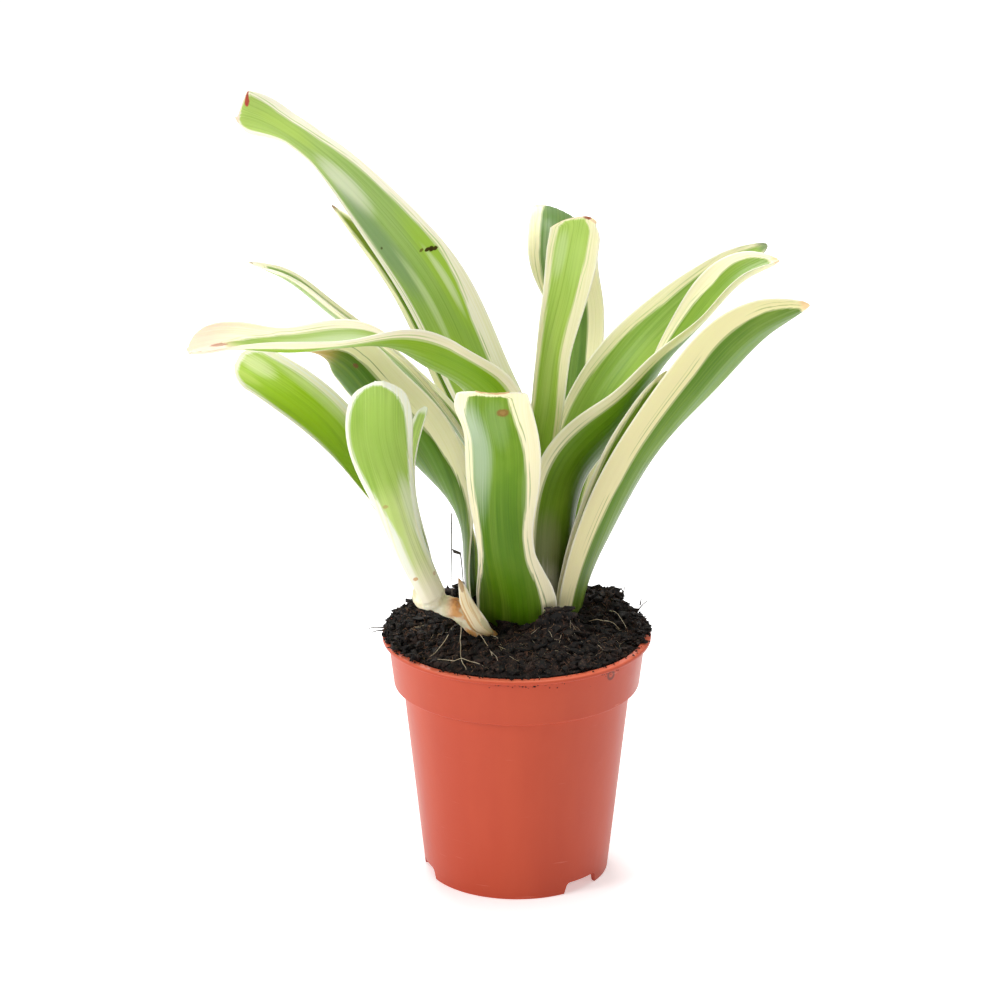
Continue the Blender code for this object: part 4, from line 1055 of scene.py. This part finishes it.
def stolonMaterial():
    material, tree, shader, place = newMaterial("paleStolon")
    tone = grain(tree, place, 260.0, 4.0, 0.6)
    patch = grain(tree, place, 130.0, 3.0, 0.6)
    x = put(tree, "ShaderNodeSeparateXYZ", {0: place}).outputs[0]
    colour = layer(tree, (222, 212, 170), (244, 240, 216), tone, 0.35, 0.7)
    rusty = layer(tree, (160, 80, 14), (216, 148, 62), tone, 0.35, 0.65)
    start = potX + offsetStem["rustStart"] * mm
    fade = multiply(tree, rise(tree, x, start, start + 4 * mm), rise(tree, patch, 0.46, 0.58))
    feed(tree, shader, {"Base Color": blend(tree, multiply(tree, fade, 0.9), colour, rusty), "Roughness": 0.5,
                        "Subsurface Weight": 0.1, "Subsurface Scale": 3 * mm,
                        "Normal": relief(tree, tone, 0.5, 0.5)})
    return material


def buildOffsetStem():
    bulb = turnProfile("bulb", offsetStem["bulb"], offsetStem["bulbSides"])
    moveMesh(bulb, offsetAxis["x"] * mm, offsetAxis["y"] * mm)
    path = curveThrough(offsetStem["stolon"], np.linspace(0, 1, offsetStem["stolonSteps"]))[2]
    stolon = drawTubes("stolon", "POLY", [path * (mm, mm, mm, 1.0)], 1.0, 6)
    join = bulb.modifiers.new("join", "BOOLEAN")
    join.operation = "UNION"
    join.object = stolon
    remesh = bulb.modifiers.new("skin", "REMESH")
    remesh.mode = "VOXEL"
    remesh.voxel_size = offsetStem["voxel"] * mm
    smooth = bulb.modifiers.new("smooth", "SMOOTH")
    smooth.factor = 0.5
    smooth.iterations = 4
    applyModifiers(bulb)
    bpy.data.objects.remove(stolon, do_unlink=True)
    skin = readPoints(bulb.data)
    normals = np.array([tuple(vertex.normal) for vertex in bulb.data.vertices])
    wrinkle = np.array([noise.noise(Vector(point) * 420) + 0.5 * noise.noise(Vector(point) * 1100)
                        for point in skin])
    writePoints(bulb.data, skin + normals * wrinkle[:, None] * offsetStem["wrinkle"] * mm)
    moveMesh(bulb, potX, potY)
    makeActive(bulb)
    bpy.ops.object.shade_smooth()
    finishPiece(bulb, "offset_stem_fine", stolonMaterial(), "pale_stem", "offset_stem")

    scale = buildBlade("offset_bract", bract, bract["stations"], bractMesh["rows"], bractMesh["columns"])
    finishPiece(scale, "offset_bract_fine", leafMaterial("papery", bract, 91.0), "dry_scale", "offset_bract")
    print("offset stem ready")


# routes are x, y, z in millimetres; the last one is the thread in which the bract ends
rootRoutes = (
    ((-18.5, -19.5, 95.5), (-18.6, -23, 90.8), (-18.4, -27, 90.0), (-18.6, -31, 88.9), (-18.2, -34.2, 87.2)),
    ((-18.4, -33.6, 87.6), (-20.5, -34.6, 86.9), (-23, -33.6, 87.0), (-26, -32.6, 86.9)),
    ((-18.3, -33.4, 87.6), (-15.5, -35, 87.0), (-12.5, -36, 86.6), (-9.3, -38, 85.6)),
    ((-18.2, -34, 87.2), (-17.2, -36, 86.0), (-16.6, -37.4, 85.2)),
    ((-22.6, -21.5, 91.2), (-25, -27, 89.4), (-26.4, -30, 88.6), (-28.5, -31.5, 87.4)),
    ((-12.4, -21.5, 91.6), (-10.9, -25, 90.9), (-9.5, -28.5, 89.9), (-8.5, -31.5, 88.9), (-7.8, -34.2, 87.9)),
    ((-8.6, -31.2, 89.0), (-7.0, -33.4, 88.2), (-6.4, -35.2, 87.4)),
    ((24, -6, 90.0), (27, -7.5, 91.4), (31, -8, 91.0), (34, -10, 88.8)),
    ((31, 4, 90.0), (33, 1.0, 90.8), (34.5, -3, 90.2), (36.5, -7, 88.0)),
    ((-2, -11.5, 90.6), (1, -12.8, 91.8), (4, -12, 91.2)),
    ((-9.6, -21.8, 92.0), (-8.2, -21.6, 91.0), (-6.8, -21.9, 90.6), (-6.2, -22.6, 90.2)))

# the mark on the hanging threads is a small bundle: the second route, and a strand at each depth
bundleDepths = (1.0, 0.75, 0.5, 0.25)
threadRoutes = (
    ((-21.6, 3, 125), (-21.9, 2, 116), (-21.5, 1.6, 106), (-21.7, 1.2, 97), (-21.4, 1.0, 90)),
    ((-21.6, 2, 112.6), (-20.4, 1.8, 112.3), (-18.6, 1.6, 111.6)),
    ((-18.8, 2, 111.2), (-18.1, 1.8, 106), (-17.8, 1.6, 100), (-17.5, 1.4, 93)))

twigRoutes = (
    ((-42.5, -2, 86.0), (-45.2, -3.2, 87.0), (-48.2, -4.0, 87.4), (-49.5, -4.4, 86.8)),
    ((-44, -3, 85.6), (-46.6, -4.8, 86.6), (-48.4, -6.5, 86.2)),
    ((35.6, 22, 86), (36.2, 22.5, 89.5), (37.0, 23, 92.4)),
    ((36.2, 22.6, 89.8), (35.4, 22.4, 91.6)),
    ((40.6, 16, 84.5), (42.0, 16.4, 87.5), (44.4, 17, 88.8)),
    ((41.8, 16.4, 87.4), (42.2, 16.2, 90.0)))

rootForm = {"seed": 23, "waver": 0.35, "clearance": 0.35, "rootThickness": 0.12,
            "hairs": 60, "hairReach": 38.0, "hairPoints": 6, "hairStep": 1.3, "hairThickness": 0.06,
            "threadThickness": 0.24, "twigThickness": 0.28}


def waver(route, rng):
    # a point put in the middle of each step, and moved a little
    amount = rootForm["waver"]
    points = [route[0]]
    for here, there in zip(route, route[1:]):
        middle = [(a + b) / 2 + rng.uniform(-amount, amount) for a, b in zip(here, there)]
        points += [middle, there]
    return [(x, y, max(z, soilHeight(x, y) + rootForm["clearance"])) for x, y, z in points]


def buildRoots():
    rng = random.Random(rootForm["seed"])
    roots = [waver(route, rng) for route in rootRoutes]
    hairs = []
    last = rootForm["hairPoints"] - 1
    for _ in range(rootForm["hairs"]):
        x, y = polar(rootForm["hairReach"] * math.sqrt(rng.random()), rng.uniform(math.pi, 2 * math.pi))
        heading, route = rng.uniform(0, 2 * math.pi), []
        for i in range(last + 1):
            route.append((x, y, soilHeight(x, y) + (0.5 if 0 < i < last else -0.2)))
            heading += rng.uniform(-0.6, 0.6)
            dx, dy = polar(rootForm["hairStep"], heading)
            x, y = x + dx, y + dy
        hairs.append(route)
    paleRoot = plainMaterial("paleRoot", (206, 184, 146), (238, 226, 198), 0.6)
    threads("pale_roots", roots, rootForm["rootThickness"], paleRoot, "pale_stem")
    threads("root_hairs", hairs, rootForm["hairThickness"], paleRoot, "pale_stem")

    bundle = [((-21.4 + 0.3 * depth, 2, 112.6 - depth), (-20.1, 1.8, 112.3 - depth),
               (-18.6, 1.6, 111.7 - 0.8 * depth)) for depth in bundleDepths]
    darkThread = plainMaterial("darkThread", (58, 52, 48), (110, 100, 92), 0.8)
    darkTwig = plainMaterial("darkTwig", (44, 34, 28), (84, 68, 56), 0.85)
    threads("dark_threads", (*bundle, *threadRoutes), rootForm["threadThickness"], darkThread, "peat")
    threads("dark_twigs", twigRoutes, rootForm["twigThickness"], darkTwig, "peat")
    print("roots ready")


def dressStem():
    # the crown's own stem is hidden among the sheaths and only needs its skin
    material = plainMaterial("crownStem", (206, 200, 150), (232, 226, 184), 0.55)
    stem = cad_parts["crown_stem"]
    stem.data.materials.clear()
    stem.data.materials.append(material)


buildStudio()
buildPot()
peat = peatMaterial()
buildSoil(peat)
buildCrumbs(peat)
buildFibres()
buildOffsetStem()
buildRoots()
buildLeaves()
dressStem()
